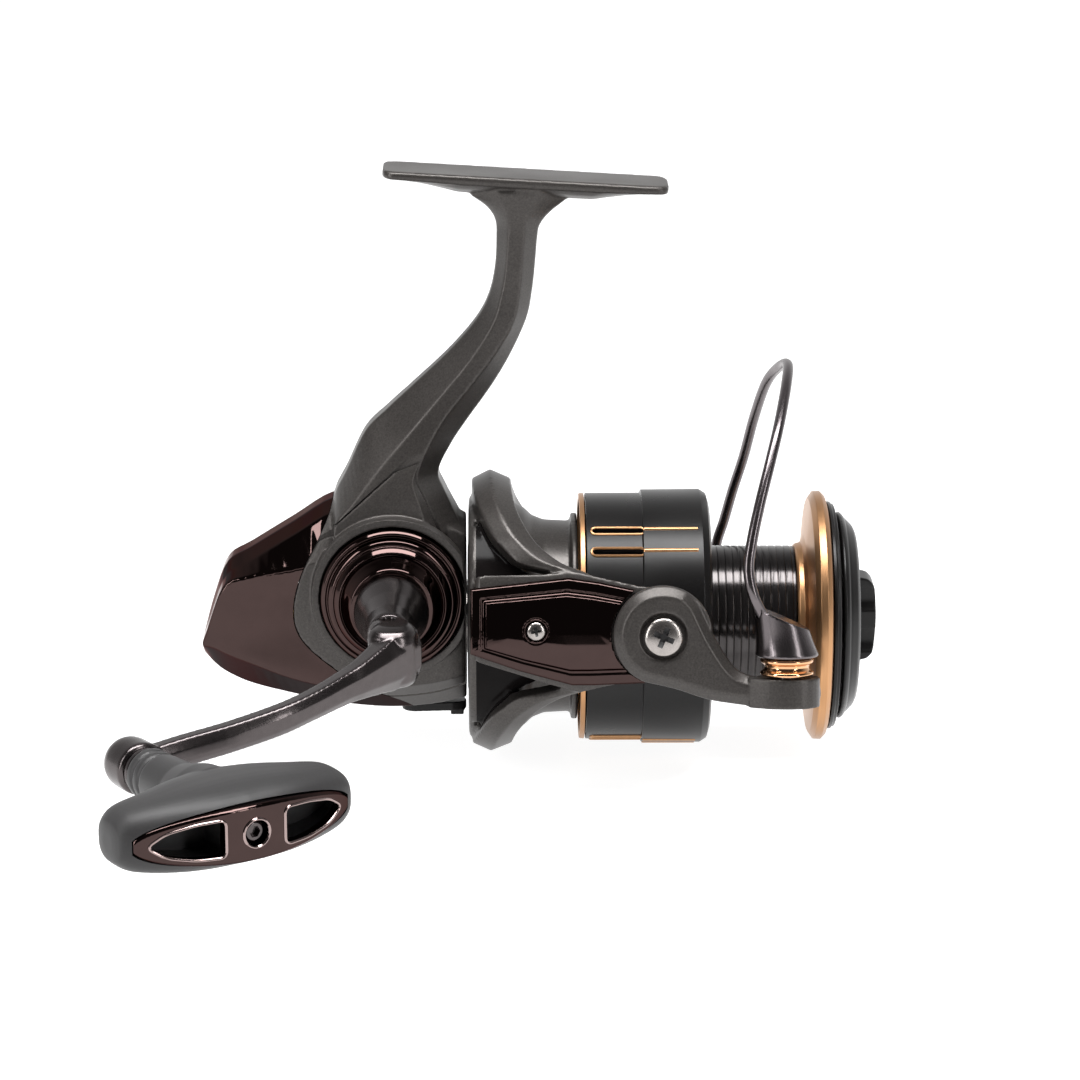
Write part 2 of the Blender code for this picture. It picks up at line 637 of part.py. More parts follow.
rotor = add("rotor", turned(ROTOR_CUP, steps=34), ROTOR, GUNMETAL)
for up in (1, -1):
    boolean(rotor, "UNION", cutter(f"brace_{up}", brace_form(up), ROTOR))
for side in (1, -1):
    boolean(rotor, "UNION", cutter(f"arm_{side}", arm_form(side), ROTOR))
    for up in (1, -1):
        boolean(rotor, "UNION", cutter(f"web_{side}_{up}", web_form(side, up), ROTOR))
for side, name in ((-1, "near"), (1, "far")):
    pivot_bore = turned(ring_profile(29 * side, 60 * side, 2.2, 0), "Y", 14, (PIVOT_X, 0, 0))
    boolean(rotor, "DIFFERENCE", cutter(f"pivot_bore_{name}", pivot_bore, ROTOR))
    screw_bore = turned(ring_profile(30 * side, 60 * side, 1.25, 0), "Y", 10, COVER_SCREW)
    boolean(rotor, "DIFFERENCE", cutter(f"cover_bore_{name}", screw_bore, ROTOR))
boolean(rotor, "DIFFERENCE", cutter("spring_pocket", box((4.5, -40.0, -3.6), (16.0, -30.2, 3.6)), ROTOR))

# Rotor fittings ---------------------------------------------------------------

nut = add("rotor_nut", prism(circle(0, 0, 7.4, 6), 4.9, 7.8, "YZ"), ROTOR, STEEL)
boolean(nut, "DIFFERENCE", cutter("nut_bore", turned(ring_profile(0, 20, 4.6, 0), steps=16), ROTOR))

COVER_OUTLINE = [
    (-11.9, -4.1), (-11.9, 9.5), (-1.5, 10.6), (8.6, 11.7), (15.0, 10.8), (24.5, 8.8),
    (28.0, 0.0), (24.5, -10.5), (14.0, -10.9), (9.4, -10.9), (-1.8, -7.7),
]
COVER_TUBE = [(-12.6, 33.4), (-12.6, 33.9), (-8.0, 34.5), (6.0, 34.7), (25.0, 34.6), (25.0, 33.4)]


def screw_on_y(side, seat, radius, height, shank_r, end):
    """A domed screw square to the rotor axis; its head rises from the seat."""
    profile = [(end, 0), (end, shank_r), (seat, shank_r), (seat, radius), (seat + height * 0.3, radius)]
    profile += [(seat + height * 0.75, radius * 0.78), (seat + height, radius * 0.35), (seat + height, 0)]
    return [(along * side, r) for along, r in profile]


for side, name in ((-1, "near"), (1, "far")):
    cover = add(f"arm_cover_{name}", prism(COVER_OUTLINE, 30 * side, 40 * side), ROTOR, BLACK_CHROME)
    boolean(cover, "INTERSECT", cutter(f"cover_tube_{name}", turned(COVER_TUBE, steps=48), ROTOR))
    disc_room = turned(ring_profile(25 * side, 60 * side, 10.8, 0), "Y", 28, (PIVOT_X, 0, 0))
    recess = turned(ring_profile(33.95 * side, 60 * side, 2.6, 0, 0.01), "Y", 14, COVER_SCREW)
    shank_room = turned(ring_profile(25 * side, 60 * side, 1.25, 0), "Y", 10, COVER_SCREW)
    for label, form in (("disc_room", disc_room), ("recess", recess), ("shank_room", shank_room)):
        boolean(cover, "DIFFERENCE", cutter(f"{label}_{name}", form, ROTOR))
    small = screw_on_y(side, 34.3, 2.1, 1.3, 0.95, 30.8)
    add(f"cover_screw_{name}", turned(small, "Y", 10, COVER_SCREW), ROTOR, STEEL)
    large = screw_on_y(side, 38.3, 4.0, 1.5, 1.9, 29.6)
    add(f"pivot_screw_{name}", turned(large, "Y", 14, (PIVOT_X, 0, 0)), ROTOR, STEEL)


def tube(path, radius, sides=8):
    """A round bar along points, with its rings kept from twisting."""
    points = [Vector(p) for p in path]
    normal = None
    rings = []
    for i, point in enumerate(points):
        along = (points[min(i + 1, len(points) - 1)] - points[max(i - 1, 0)]).normalized()
        if normal is None:
            normal = along.orthogonal().normalized()
        normal = (normal - along * normal.dot(along)).normalized()
        other = along.cross(normal)
        turn = [math.tau * k / sides for k in range(sides)]
        rings.append([tuple(point + (normal * math.cos(a) + other * math.sin(a)) * radius) for a in turn])
    return loft(rings)


def smooth_path(points, between=2):
    """Catmull-Rom points through the given ones."""
    p = [Vector(q) for q in points]
    p = [p[0] * 2 - p[1]] + p + [p[-1] * 2 - p[-2]]
    out = []
    for a, b, c, d in zip(p, p[1:], p[2:], p[3:]):
        for i in range(between):
            t = i / between
            square, cube = 2 * a - 5 * b + 4 * c - d, 3 * b - 3 * c + d - a
            out.append(0.5 * (2 * b + (c - a) * t + square * t**2 + cube * t**3))
    return out + [p[-2]]


coil = [
    (5.6 + 9.2 * i / 40, -31.9 + math.cos(math.tau * i / 8), math.sin(math.tau * i / 8))
    for i in range(41)
]
add("bail_spring", tube(coil, 0.3, 5), ROTOR, STEEL)

# Bail ------------------------------------------------------------------------


def from_pivot(points):
    return [(p[0] - PIVOT_X, *p[1:]) for p in points]


BAIL_TAIL = [
    (28.2, 0.0), (33.3, 9.1), (35.7, 6.3), (38.8, -0.1), (42.8, -6.3), (46.0, -8.2), (48.0, -8.8), (59.1, -9.0),
    (60.7, -10.0), (61.0, -13.0), (59.2, -14.7), (54.8, -15.2), (48.8, -15.0), (42.9, -14.3), (37.3, -13.5),
    (30.9, -11.5), (25.4, -9.9),
]
TIP = [
    (46.0, -38.2), (50.0, -40.8), (54.0, -41.5), (58.0, -40.4), (60.6, -37.6), (60.6, -34.4), (58.0, -31.8),
    (54.0, -30.9), (50.0, -31.8), (46.0, -35.2),
]
FAR_LOBE = (42.6, 8.2)
# The wire, from the roller cover round over the top to the far arm
WIRE = [
    (49.5, -37.6, 3.0), (46.8, -39.6, 8.5), (45.7, -39.3, 13.9), (46.4, -38.3, 19.7), (48.2, -35.8, 27.4),
    (50.5, -31.9, 35.4), (52.8, -26.1, 43.2), (55.0, -15.9, 50.8), (56.0, -5.3, 54.5), (54.6, 3.0, 53.4),
    (52.5, 11.0, 49.5), (50.6, 21.3, 41.4), (48.8, 28.8, 32.2), (46.6, 32.8, 24.3), (44.8, 35.5, 17.2),
    (43.4, 36.2, 12.8), (42.9, 36.2, 9.4),
]
WIRE_R = 1.15

disc = turned(ring_profile(-38.4, -33.4, 10.4, 0, 0.9), "Y", 28)
bail_arm = add("bail_arm_near", disc, BAIL, GUNMETAL)
boolean(
    bail_arm,
    "UNION",
    cutter("bail_tail", prism(from_pivot(BAIL_TAIL), -38.2, -35.1), BAIL),
    cutter("bail_tip", prism(from_pivot(TIP), -14.9, -8.7, "XY"), BAIL),
)
boolean(
    bail_arm,
    "DIFFERENCE",
    cutter("pivot_recess", turned(ring_profile(-60, -37.9, 4.8, 0), "Y", 20), BAIL),
    cutter("pivot_hole", turned(ring_profile(-60, -20, 2.2, 0), "Y", 14), BAIL),
    cutter("tip_bore", turned(ring_profile(-30, 0, 2.3, 0), "Z", 14), ROLLER),
    cutter("tip_recess", turned(ring_profile(-30, -13.6, 3.6, 0), "Z", 14), ROLLER),
)

far_hull = circle(0, 0, 8.0, 14, math.radians(129), math.radians(180))
far_hull += circle(*from_pivot([FAR_LOBE])[0], 3.2, 8, math.radians(-51), math.radians(180))
bail_far = add("bail_arm_far", turned(ring_profile(33.4, 38.0, 8.0, 0, 0.8), "Y", 22), BAIL, GUNMETAL)
boolean(bail_far, "UNION", cutter("far_lobe", prism(far_hull, 33.9, 38.2), BAIL))
boolean(bail_far, "DIFFERENCE", cutter("far_pivot_hole", turned(ring_profile(20, 60, 2.2, 0), "Y", 14), BAIL))
socket_floor = (FAR_LOBE[0], 36.2, FAR_LOBE[1])
far_socket = tube(from_pivot(WIRE[-3:] + [socket_floor]), WIRE_R + GAP, 12)
boolean(bail_far, "DIFFERENCE", cutter("far_wire_socket", far_socket, BAIL))

add("bail_wire", tube(smooth_path(from_pivot(WIRE)), WIRE_R), BAIL, DARK_STEEL)

# Roller cover stations up Z: height, centre X, centre Y, radius
CONE = [
    (-4.35, 53.9, -36.0, 6.3), (-3.9, 53.9, -36.0, 6.6), (-2.4, 53.7, -36.0, 6.2), (0.0, 53.2, -36.1, 5.8),
    (3.0, 52.6, -36.3, 5.5), (7.5, 51.8, -36.6, 5.2),
]
SLANT = [(44.0, 7.6), (60.5, -1.6), (66.0, 12.0), (44.0, 12.0)]  # cut off the roller cover's top
cone_rings = [[(x, y, z) for x, y in circle(cx - PIVOT_X, cy, r, 24)] for z, cx, cy, r in CONE]
roller_cover = add("roller_cover", loft(cone_rings), BAIL, GUNMETAL)
boolean(roller_cover, "DIFFERENCE", cutter("cover_slant", prism(from_pivot(SLANT), -50.0, -20.0), BAIL))
near_socket = tube(from_pivot([(50.1, -37.1, 1.8), WIRE[0], WIRE[1]]), WIRE_R + GAP, 12)
boolean(roller_cover, "DIFFERENCE", cutter("near_wire_socket", near_socket, BAIL))
cover_bore = turned(ring_profile(-30, -0.9, 2.3, 0), "Z", 14)
boolean(roller_cover, "DIFFERENCE", cutter("cover_bore", cover_bore, ROLLER))

roller_profile = [
    (-8.3, 2.3), (-8.3, 5.4), (-7.7, 5.6), (-7.1, 4.9), (-6.5, 4.6), (-5.9, 4.9), (-5.3, 5.6), (-4.7, 5.4),
    (-4.7, 2.3),
]
add("line_roller", turned(roller_profile, "Z", 22), ROLLER, GOLD)
roller_screw = [(-14.9, 0), (-14.9, 3.0), (-14.5, 3.3), (-13.9, 3.3), (-13.9, 2.0), (-1.2, 2.0), (-1.2, 0)]
add("roller_screw", turned(roller_screw, "Z", 14), ROLLER, STEEL)

# Spool and drag ----------------------------------------------------------------

SPOOL = [
    (12.7, 25.2), (12.7, 26.6), (24.5, 26.6), (24.7, 27.3), (37.5, 27.4), (38.8, 26.4), (39.2, 24.8),
    (39.2, 15.1), (57.5, 15.1), (57.5, 13.4), (62.0, 13.4), (62.0, 12.4), (46.0, 12.4), (46.0, SHAFT_BORE),
    (36.5, SHAFT_BORE), (36.5, 23.5), (36.0, 25.2),
]
SLOT_PAIRS = 3
SLOT_ANGLES = (46.9, 58.9)  # from the near side towards the foot, within the first pair
SLOT_WIDTH = 1.7


def spool_slots():
    bm = bmesh.new()
    for pair in range(SLOT_PAIRS):
        for degrees in SLOT_ANGLES:
            turn = Matrix.Rotation(-math.radians(degrees + 360 * pair / SLOT_PAIRS), 4, "X")
            made = bmesh.ops.create_cube(bm, size=1.0)["verts"]
            size = Matrix.Diagonal((11.1 * MM, 6 * MM, SLOT_WIDTH * MM, 1))
            place = Matrix.Translation(Vector((19.35, -26.0, 0)) * MM)
            bmesh.ops.transform(bm, matrix=turn @ place @ size, verts=made)
    return bm


spool = add("spool", turned(SPOOL, steps=28), SHAFT, SATIN_BLACK)
boolean(spool, "DIFFERENCE", cutter("spool_slots", spool_slots(), SHAFT))
add("spool_band", turned(ring_profile(11.3, 12.4, 26.6, 25.4), steps=28), SHAFT, GOLD)
LIP = [
    (57.8, 13.7), (57.8, 15.4), (59.3, 15.8), (60.9, 25.3), (61.9, 26.8), (63.4, 26.9), (64.3, 26.0),
    (64.6, 24.9), (64.6, 13.7),
]
add("spool_lip", turned(LIP, steps=34), SHAFT, GOLD)
seal = [(64.9, 14.0), (64.9, 24.6), (66.3, 24.2), (66.6, 22.6), (66.6, 14.0)]
add("drag_seal_plate", turned(seal, steps=28), SHAFT, SATIN_BLACK)
click_ring = add("click_ring", prism(gear_outline(18, 9.6, 0.5, 0.5), 33.0, 35.5, "YZ"), SHAFT, STEEL)
click_bore = turned(ring_profile(20, 40, SHAFT_BORE, 0), steps=14)
boolean(click_ring, "DIFFERENCE", cutter("click_bore", click_bore, SHAFT))
washers = (("drag_felt_inner", FELT), ("drag_plate", STEEL), ("drag_felt_outer", FELT))
WASHER_START, WASHER_PITCH, WASHER_THICK = 46.3, 2.0, 1.6
for number, (name, finish) in enumerate(washers):
    start = WASHER_START + WASHER_PITCH * number
    add(name, turned(ring_profile(start, start + WASHER_THICK, 12.0, SHAFT_BORE), steps=22), SHAFT, finish)

knob_disc = [
    (52.6, SHAFT_BORE), (52.6, 6.0), (67.0, 6.0), (67.0, 22.1), (67.5, 22.4), (70.4, 19.4), (70.9, 18.4),
    (70.9, 0), (70.0, 0), (70.0, SHAFT_BORE),
]
drag_knob = add("drag_knob", turned(knob_disc, steps=28), SHAFT, SATIN_BLACK)
wing = [
    (70.4, -9.4), (72.4, -9.2), (74.0, -8.6), (75.2, -6.4), (75.5, 0.0), (75.2, 6.4), (74.0, 8.6), (72.4, 9.2),
    (70.4, 9.4),
]
boolean(drag_knob, "UNION", cutter("drag_wing", prism(wing, -3.5, 3.5), SHAFT))

# Handle -----------------------------------------------------------------------

TAB_Z = 2.3
SLOT_Z = TAB_Z + 0.35
EAR_R = 4.6
PIN_HOLE_R = 1.35
handle_cone = [
    (-25.6, 3.8), (-25.6, 7.9), (-27.5, 7.9), (-29.0, 7.6), (-33.0, 6.4), (-38.0, 5.2), (-42.0, 4.7),
    (-43.2, 4.5), (-43.2, 0), (-41.0, 0), (-41.0, 3.8),
]
tab = [(3.2, -42.7), (-3.2, -42.7)] + circle(0, -HINGE_H, 3.2, 12, math.pi, math.pi)
cone = add("handle_cone", turned(handle_cone, "Y", 22), DRIVE, DARK_STEEL)
boolean(cone, "UNION", cutter("cone_tab", prism(tab, -TAB_Z, TAB_Z, "XY"), DRIVE))
cone_pin_hole = turned(ring_profile(-20, 20, PIN_HOLE_R, 0), "Z", 12, (0, -HINGE_H, 0))
boolean(cone, "DIFFERENCE", cutter("cone_pin_hole", cone_pin_hole, DRIVE))
add("fold_pin", turned(ring_profile(-4.7, 4.7, 1.1, 0), "Z", 12), FOLD, STEEL)

# Arm stations: centre, half thickness along Y, half height
HANDLE = [
    ((3.0, -4.9, -0.6), 3.2, 5.0), ((-3.3, -5.6, -1.4), 4.4, 5.6), ((-6.5, -7.0, -1.7), 4.1, 5.0),
    ((-12.9, -9.6, -2.4), 3.2, 3.8), ((-17.0, -10.7, -3.0), 2.8, 3.3), ((-25.8, -12.9, -4.4), 2.5, 2.9),
    ((-34.4, -13.8, -5.9), 2.5, 2.9), ((-45.0, -12.6, -7.8), 2.5, 2.9), ((-55.0, -10.6, -9.5), 2.45, 3.0),
    ((-64.0, -9.9, -11.0), 2.4, 3.2),
]
arm_rings = []
for (x, y, z), thick, tall in HANDLE:
    corners = [(-1, -0.45), (-0.55, -1), (0.55, -1), (1, -0.45), (1, 0.45), (0.55, 1), (-0.55, 1), (-1, 0.45)]
    arm_rings.append([(x, y + thick * a, z + tall * b) for a, b in corners])
BOSS_AT = (BOSS[0], 0, BOSS[2])
boss = [(-2.7, 0), (-2.9, 2.2), (-4.2, 4.4), (-6.5, 5.3), (-11.8, 5.3), (-12.5, 4.8), (-12.5, 0)]
handle_arm = add("handle_arm", loft(arm_rings), FOLD, DARK_STEEL)
ears = [(-EAR_R, 0), (-7.4, -3.0)] + circle(-1.8, -3.6, 5.9, 12, math.radians(190), math.radians(160))
ears += [(4.2, -3.0), (EAR_R, 0)] + circle(0, 0, EAR_R, 10, math.radians(10), math.radians(160))
boolean(handle_arm, "UNION", cutter("arm_ears", prism(ears, -7.5, 5.6, "XY"), FOLD))
boolean(
    handle_arm,
    "UNION",
    cutter("arm_boss", turned(boss, "Y", 20, BOSS_AT), FOLD),
)
boolean(
    handle_arm,
    "DIFFERENCE",
    cutter("arm_slot", box((-20.0, -3.55, -SLOT_Z), (20.0, 20.0, SLOT_Z)), FOLD),
    cutter("arm_pin_hole", turned(ring_profile(-20, 20, PIN_HOLE_R, 0), "Z", 12), FOLD),
    cutter("arm_axle_hole", turned(ring_profile(-40, -5.0, 2.3, 0), "Y", 14, BOSS_AT), FOLD),
)

add("knob_axle", turned(ring_profile(-44.0, 2.6, 2.0, 0), "Y", 14), KNOB, STEEL)
add("knob_collar", turned(ring_profile(-6.0, -4.9, 4.6, 2.3), "Y", 16), KNOB, STEEL)
for place, h in (("inner", 12.0), ("outer", 30.0)):
    add(f"knob_bearing_{place}", turned(ring_profile(-h - 3.0, -h, 4.0, 2.3), "Y", 14), KNOB, BRASS)

# Knob stations along X: back, front, half height
KNOB_BAR = [
    (25.2, 34.4, 38.4, 2.0), (24.4, 31.6, 41.2, 4.3), (21.6, 29.8, 43.0, 6.0), (15.0, 28.5, 45.4, 7.2),
    (8.0, 26.0, 47.0, 7.9), (0.0, 24.0, 47.6, 8.1),
]
KNOB_NECK = [
    (-6.3, 0), (-6.3, 4.7), (-6.9, 5.0), (-13.0, 5.1), (-20.0, 5.6), (-26.0, 7.2), (-31.0, 7.9), (-31.0, 0),
]
KNOB_POWER = 0.75  # below 1 it squares the section off


def knob_bar():
    stations = [(-row[0], *row[1:]) for row in KNOB_BAR[:-1]] + KNOB_BAR[::-1]
    rings = []
    for x, back, front, half in stations:
        middle, reach = (back + front) / 2, (front - back) / 2
        ring = []
        for k in range(14):
            angle = math.tau * (k + 0.5) / 14
            c, s = math.cos(angle), math.sin(angle)
            y = -middle - reach * math.copysign(abs(c) ** KNOB_POWER, c)
            ring.append((x, y, half * math.copysign(abs(s) ** KNOB_POWER, s)))
        rings.append(ring)
    return loft(rings)


def inlay_form(grow, top):
    """The lens-shaped plate let into the knob's front; it follows the front's curve."""
    rings = []
    for x in (-23.0, -21.0, -17.0, -11.0, -4.0, 4.0, 11.0, 17.0, 21.0, 23.0):
        wide = 5.3 * math.sqrt(max(1 - (x / 23.4) ** 2, 0)) + 0.15 + grow
        front = 47.75 - 0.010 * x * x
        place = x + math.copysign(grow, x) * (abs(x) > 22)
        half = [(-front + 2.3 + grow, wide), (-front + 0.4 - top, wide), (-front - top, wide - 0.5)]
        rings.append([(place, y, -z) for y, z in half] + [(place, y, z) for y, z in reversed(half)])
    return loft(rings)


def windows(low, grow):
    """Both windows of the inlay as one cutter."""
    outline = [(6.3, -3.7), (12.0, -3.5), (17.5, -2.4), (21.0, 0.0), (17.5, 2.4), (12.0, 3.5), (6.3, 3.7)]
    bm = bmesh.new()
    for side in (-1, 1):
        points = [(side * (x + grow * (0.5 if x > 7 else -1)), z * (1 + grow * 0.15)) for x, z in outline]
        rings = [[bm.verts.new(Vector((x, y, z)) * MM) for x, z in points] for y in (-60.0, -low)]
        for i in range(len(points)):
            j = (i + 1) % len(points)
            bm.faces.new((rings[0][i], rings[0][j], rings[1][j], rings[1][i]))
        bm.faces.new(rings[0])
        bm.faces.new(rings[1])
    return bm


knob = add("knob", knob_bar(), KNOB, RUBBER)
boolean(knob, "UNION", cutter("knob_neck", turned(KNOB_NECK, "Y", 20), KNOB))
boolean(
    knob,
    "DIFFERENCE",
    cutter("inlay_room", inlay_form(GAP, 8.0), KNOB),
    cutter("window_wells", windows(38.5, 0.4), KNOB),
    cutter("knob_bore", turned(ring_profile(-60, 0, 2.5, 0), "Y", 14), KNOB),
    cutter("knob_back_seat", turned(ring_profile(-15.3, 0, 4.3, 0), "Y", 16), KNOB),
    cutter("knob_front_seat", turned(ring_profile(-60, -29.7, 4.3, 0), "Y", 16), KNOB),
)
inlay = add("knob_inlay", inlay_form(0.0, 0.0), KNOB, BLACK_CHROME)
boolean(
    inlay,
    "DIFFERENCE",
    cutter("inlay_windows", windows(30.0, 0.0), KNOB),
    cutter("inlay_screw_hole", turned(ring_profile(-60, 0, 2.8, 0), "Y", 16), KNOB),
)
knob_screw = add("knob_screw", turned(ring_profile(-46.9, -44.4, 2.4, 0), "Y", 14), KNOB, STEEL)
boolean(knob_screw, "DIFFERENCE", cutter("screw_socket", prism(circle(0, 0, 1.2, 6), -50.0, -45.8), KNOB))
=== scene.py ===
"""Looks of the spinning reel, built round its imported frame.

Sizes are millimetres in a reel frame: X runs forward along the spool axis, Z points to the
foot, and the handle is on -Y. Each group of pieces has its own frame, taken from the joints
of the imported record, and a piece's mesh ends in world metres.
"""

import json
import math

import bmesh
import bpy
from mathutils import Matrix, Vector

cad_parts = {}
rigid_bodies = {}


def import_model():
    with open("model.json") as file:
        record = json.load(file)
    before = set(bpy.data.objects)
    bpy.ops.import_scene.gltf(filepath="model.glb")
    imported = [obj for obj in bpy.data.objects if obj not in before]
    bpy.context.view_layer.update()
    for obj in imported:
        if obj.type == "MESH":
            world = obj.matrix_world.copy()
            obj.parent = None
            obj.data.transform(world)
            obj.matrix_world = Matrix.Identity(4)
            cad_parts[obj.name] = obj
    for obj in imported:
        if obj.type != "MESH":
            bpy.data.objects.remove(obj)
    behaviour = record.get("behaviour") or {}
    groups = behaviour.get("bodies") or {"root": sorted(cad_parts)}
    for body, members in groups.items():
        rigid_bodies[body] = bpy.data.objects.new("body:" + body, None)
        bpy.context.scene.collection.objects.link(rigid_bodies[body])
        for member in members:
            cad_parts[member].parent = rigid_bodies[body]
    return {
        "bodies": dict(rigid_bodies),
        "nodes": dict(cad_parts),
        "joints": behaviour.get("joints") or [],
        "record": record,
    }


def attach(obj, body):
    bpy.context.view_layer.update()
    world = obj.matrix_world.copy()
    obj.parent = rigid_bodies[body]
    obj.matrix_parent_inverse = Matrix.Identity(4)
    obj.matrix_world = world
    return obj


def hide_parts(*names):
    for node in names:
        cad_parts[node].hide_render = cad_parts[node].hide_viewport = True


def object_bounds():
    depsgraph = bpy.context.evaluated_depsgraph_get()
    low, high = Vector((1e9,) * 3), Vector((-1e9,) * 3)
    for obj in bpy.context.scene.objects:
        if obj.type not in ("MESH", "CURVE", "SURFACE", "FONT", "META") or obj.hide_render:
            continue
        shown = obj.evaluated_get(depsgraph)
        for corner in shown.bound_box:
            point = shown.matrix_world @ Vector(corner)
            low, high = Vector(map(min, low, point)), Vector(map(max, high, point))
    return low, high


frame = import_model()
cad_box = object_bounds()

MM = 0.001

# --- Frames

JOINTS = {joint["name"]: joint for joint in frame["joints"]}


def at_joint(name, turn=0.0, axis="X"):
    return Matrix.Translation(Vector(JOINTS[name]["pos_m"])) @ Matrix.Rotation(turn, 4, axis)


bail_axis = JOINTS["bail_flip"]["axis"]
knob_axis = JOINTS["knob_spin"]["axis"]
ROTOR_TILT = math.atan2(bail_axis[2], bail_axis[1])
FOLD = math.atan2(knob_axis[0], -knob_axis[1])
IN_REEL = at_joint("rotor_spin")
IN_ROTOR = at_joint("rotor_spin", ROTOR_TILT)
IN_ROLLER = at_joint("roller_spin", ROTOR_TILT)
IN_DRIVE = at_joint("drive_spin")
IN_FOLD = at_joint("handle_fold", FOLD, "Z")
IN_KNOB = at_joint("knob_spin", FOLD, "Z")
IN_LEVER = at_joint("stop_lever_turn")

SPOOL_Z = JOINTS["rotor_spin"]["pos_m"][2]
HANDLE_X = JOINTS["drive_spin"]["pos_m"][0] / MM
HANDLE_Z = (JOINTS["drive_spin"]["pos_m"][2] - SPOOL_Z) / MM
PIVOT_X = JOINTS["bail_flip"]["pos_m"][0] / MM
HINGE_H = -JOINTS["handle_fold"]["pos_m"][1] / MM
FOOT_SEAT = next(m for m in frame["record"]["mounts"] if m["name"] == "foot_seat")
FOOT_TILT = math.atan2(FOOT_SEAT["axis"][0], FOOT_SEAT["axis"][2])
IN_FOOT = Matrix.Rotation(FOOT_TILT, 4, "Y")
GAP = 0.3  # between pieces that touch
SEAM = 0.12  # the joint line between two castings

# --- Materials

COAT_ROUGHNESS = 0.06
SMOOTHEST = 0.02  # the least roughness of any finish


def node(tree, kind, **settings):
    made = tree.nodes.new(kind)
    for key, value in settings.items():
        if key in made.inputs:
            made.inputs[key].default_value = value
        else:
            setattr(made, key, value)
    return made


def set_inputs(target, values):
    for key, value in values.items():
        target.inputs[key].default_value = value


def finish(name, colour, rough, metal, spread=0.15, grain=900.0, bump=0.0, rough_spread=0.06,
           coat=0.0, sheen=0.0, stretch=None, flake=0.0, specular=0.5, edge=(1, 1, 1)):
    """A finish whose colour, roughness and height vary over the surface.

    grain is the detail's frequency per metre, and stretch squeezes it along an axis, as
    turning or brushing marks do.
    """
    made = bpy.data.materials.new(name)
    made.use_nodes = True
    tree = made.node_tree
    shader = tree.nodes["Principled BSDF"]
    set_inputs(shader, {
        "Metallic": metal, "Coat Weight": coat, "Coat Roughness": COAT_ROUGHNESS, "Sheen Weight": sheen,
        "Specular IOR Level": specular, "Specular Tint": (*edge, 1),
    })
    place = node(tree, "ShaderNodeTexCoord")
    squeeze = node(tree, "ShaderNodeMapping", Scale=stretch or (1, 1, 1))
    tree.links.new(place.outputs["Object"], squeeze.inputs["Vector"])
    fine = node(tree, "ShaderNodeTexNoise", Scale=grain, Detail=3.0, Roughness=0.6)
    broad = node(tree, "ShaderNodeTexNoise", Scale=45.0, Detail=2.0)
    tree.links.new(squeeze.outputs["Vector"], fine.inputs["Vector"])
    tree.links.new(place.outputs["Object"], broad.inputs["Vector"])
    ramp = node(tree, "ShaderNodeValToRGB")
    low, high = ramp.color_ramp.elements
    low.position, high.position = 0.3, 0.72
    low.color = (*(c * (1 - spread) for c in colour), 1)
    high.color = (*(c * (1 + spread) for c in colour), 1)
    if flake:
        glint = ramp.color_ramp.elements.new(0.8)
        glint.color = (*(c * (1 + spread + flake) for c in colour), 1)
    tree.links.new(fine.outputs["Fac"], ramp.inputs["Fac"])
    tree.links.new(ramp.outputs["Color"], shader.inputs["Base Color"])
    gloss = node(tree, "ShaderNodeMapRange")
    set_inputs(gloss, {
        "From Min": 0.3, "From Max": 0.7, "To Min": max(rough - rough_spread, SMOOTHEST),
        "To Max": rough + rough_spread,
    })
    tree.links.new(broad.outputs["Fac"], gloss.inputs["Value"])
    tree.links.new(gloss.outputs["Result"], shader.inputs["Roughness"])
    if bump:
        height = node(tree, "ShaderNodeBump", Strength=0.35, Distance=bump * MM)
        tree.links.new(fine.outputs["Fac"], height.inputs["Height"])
        tree.links.new(height.outputs["Normal"], shader.inputs["Normal"])
    return made


ACROSS_X = (1.0, 0.04, 0.04)  # rings round the spool axis
GUNMETAL = finish("gunmetal_paint", (0.050, 0.045, 0.042), 0.36, 0.55, 0.30, 2600.0, 0.012, flake=0.9)
BLACK_CHROME = finish("black_chrome", (0.044, 0.027, 0.025), 0.05, 1.0, 0.04, 300.0, rough_spread=0.015,
                      coat=0.15, edge=(0.35, 0.26, 0.25))
DARK_STEEL = finish("dark_steel", (0.085, 0.075, 0.075), 0.24, 1.0, 0.06, 600.0, rough_spread=0.03)
TITANIUM = finish("dark_titanium", (0.135, 0.120, 0.124), 0.25, 1.0, 0.05, 600.0, rough_spread=0.03)
GLOSS_BLACK = finish("gloss_black", (0.006, 0.005, 0.005), 0.14, 0.0, 0.1, 300.0, rough_spread=0.03,
                     specular=0.06)
ANODISED = finish("black_anodised", (0.007, 0.0065, 0.0065), 0.30, 0.20, 0.12, 1800.0, 0.004, specular=0.28)
ARBOR = finish("turned_black", (0.050, 0.046, 0.046), 0.16, 0.9, 0.25, 900.0, 0.01, stretch=ACROSS_X)
GOLD = finish("copper_gold", (0.47, 0.255, 0.125), 0.34, 1.0, 0.08, 1500.0, 0.003, stretch=ACROSS_X)
ROLLER_GOLD = finish("roller_gold", (0.70, 0.40, 0.22), 0.10, 1.0, 0.05, 500.0)
STEEL = finish("bright_steel", (0.34, 0.315, 0.30), 0.24, 1.0, 0.10, 900.0, 0.004)
BRASS = finish("machined_brass", (0.60, 0.42, 0.18), 0.30, 1.0, 0.12, 1400.0, 0.006)
SOFT_GRIP = finish("soft_grip", (0.013, 0.012, 0.0125), 0.50, 0.0, 0.14, 2200.0, 0.02, sheen=0.06)
# painted shade: a flat near-black that darkens the cross recesses of the steel screw heads as if shade fell
# in them; in the knob's wells it is close to the grip's own dark tone
RECESS_SHADE = finish("painted_recess_shade", (0.014, 0.013, 0.014), 0.5, 0.0, 0.2, 1200.0, 0.01)
FELT = finish("drag_felt", (0.20, 0.19, 0.18), 0.9, 0.0, 0.4, 1800.0, 0.08, sheen=0.4)
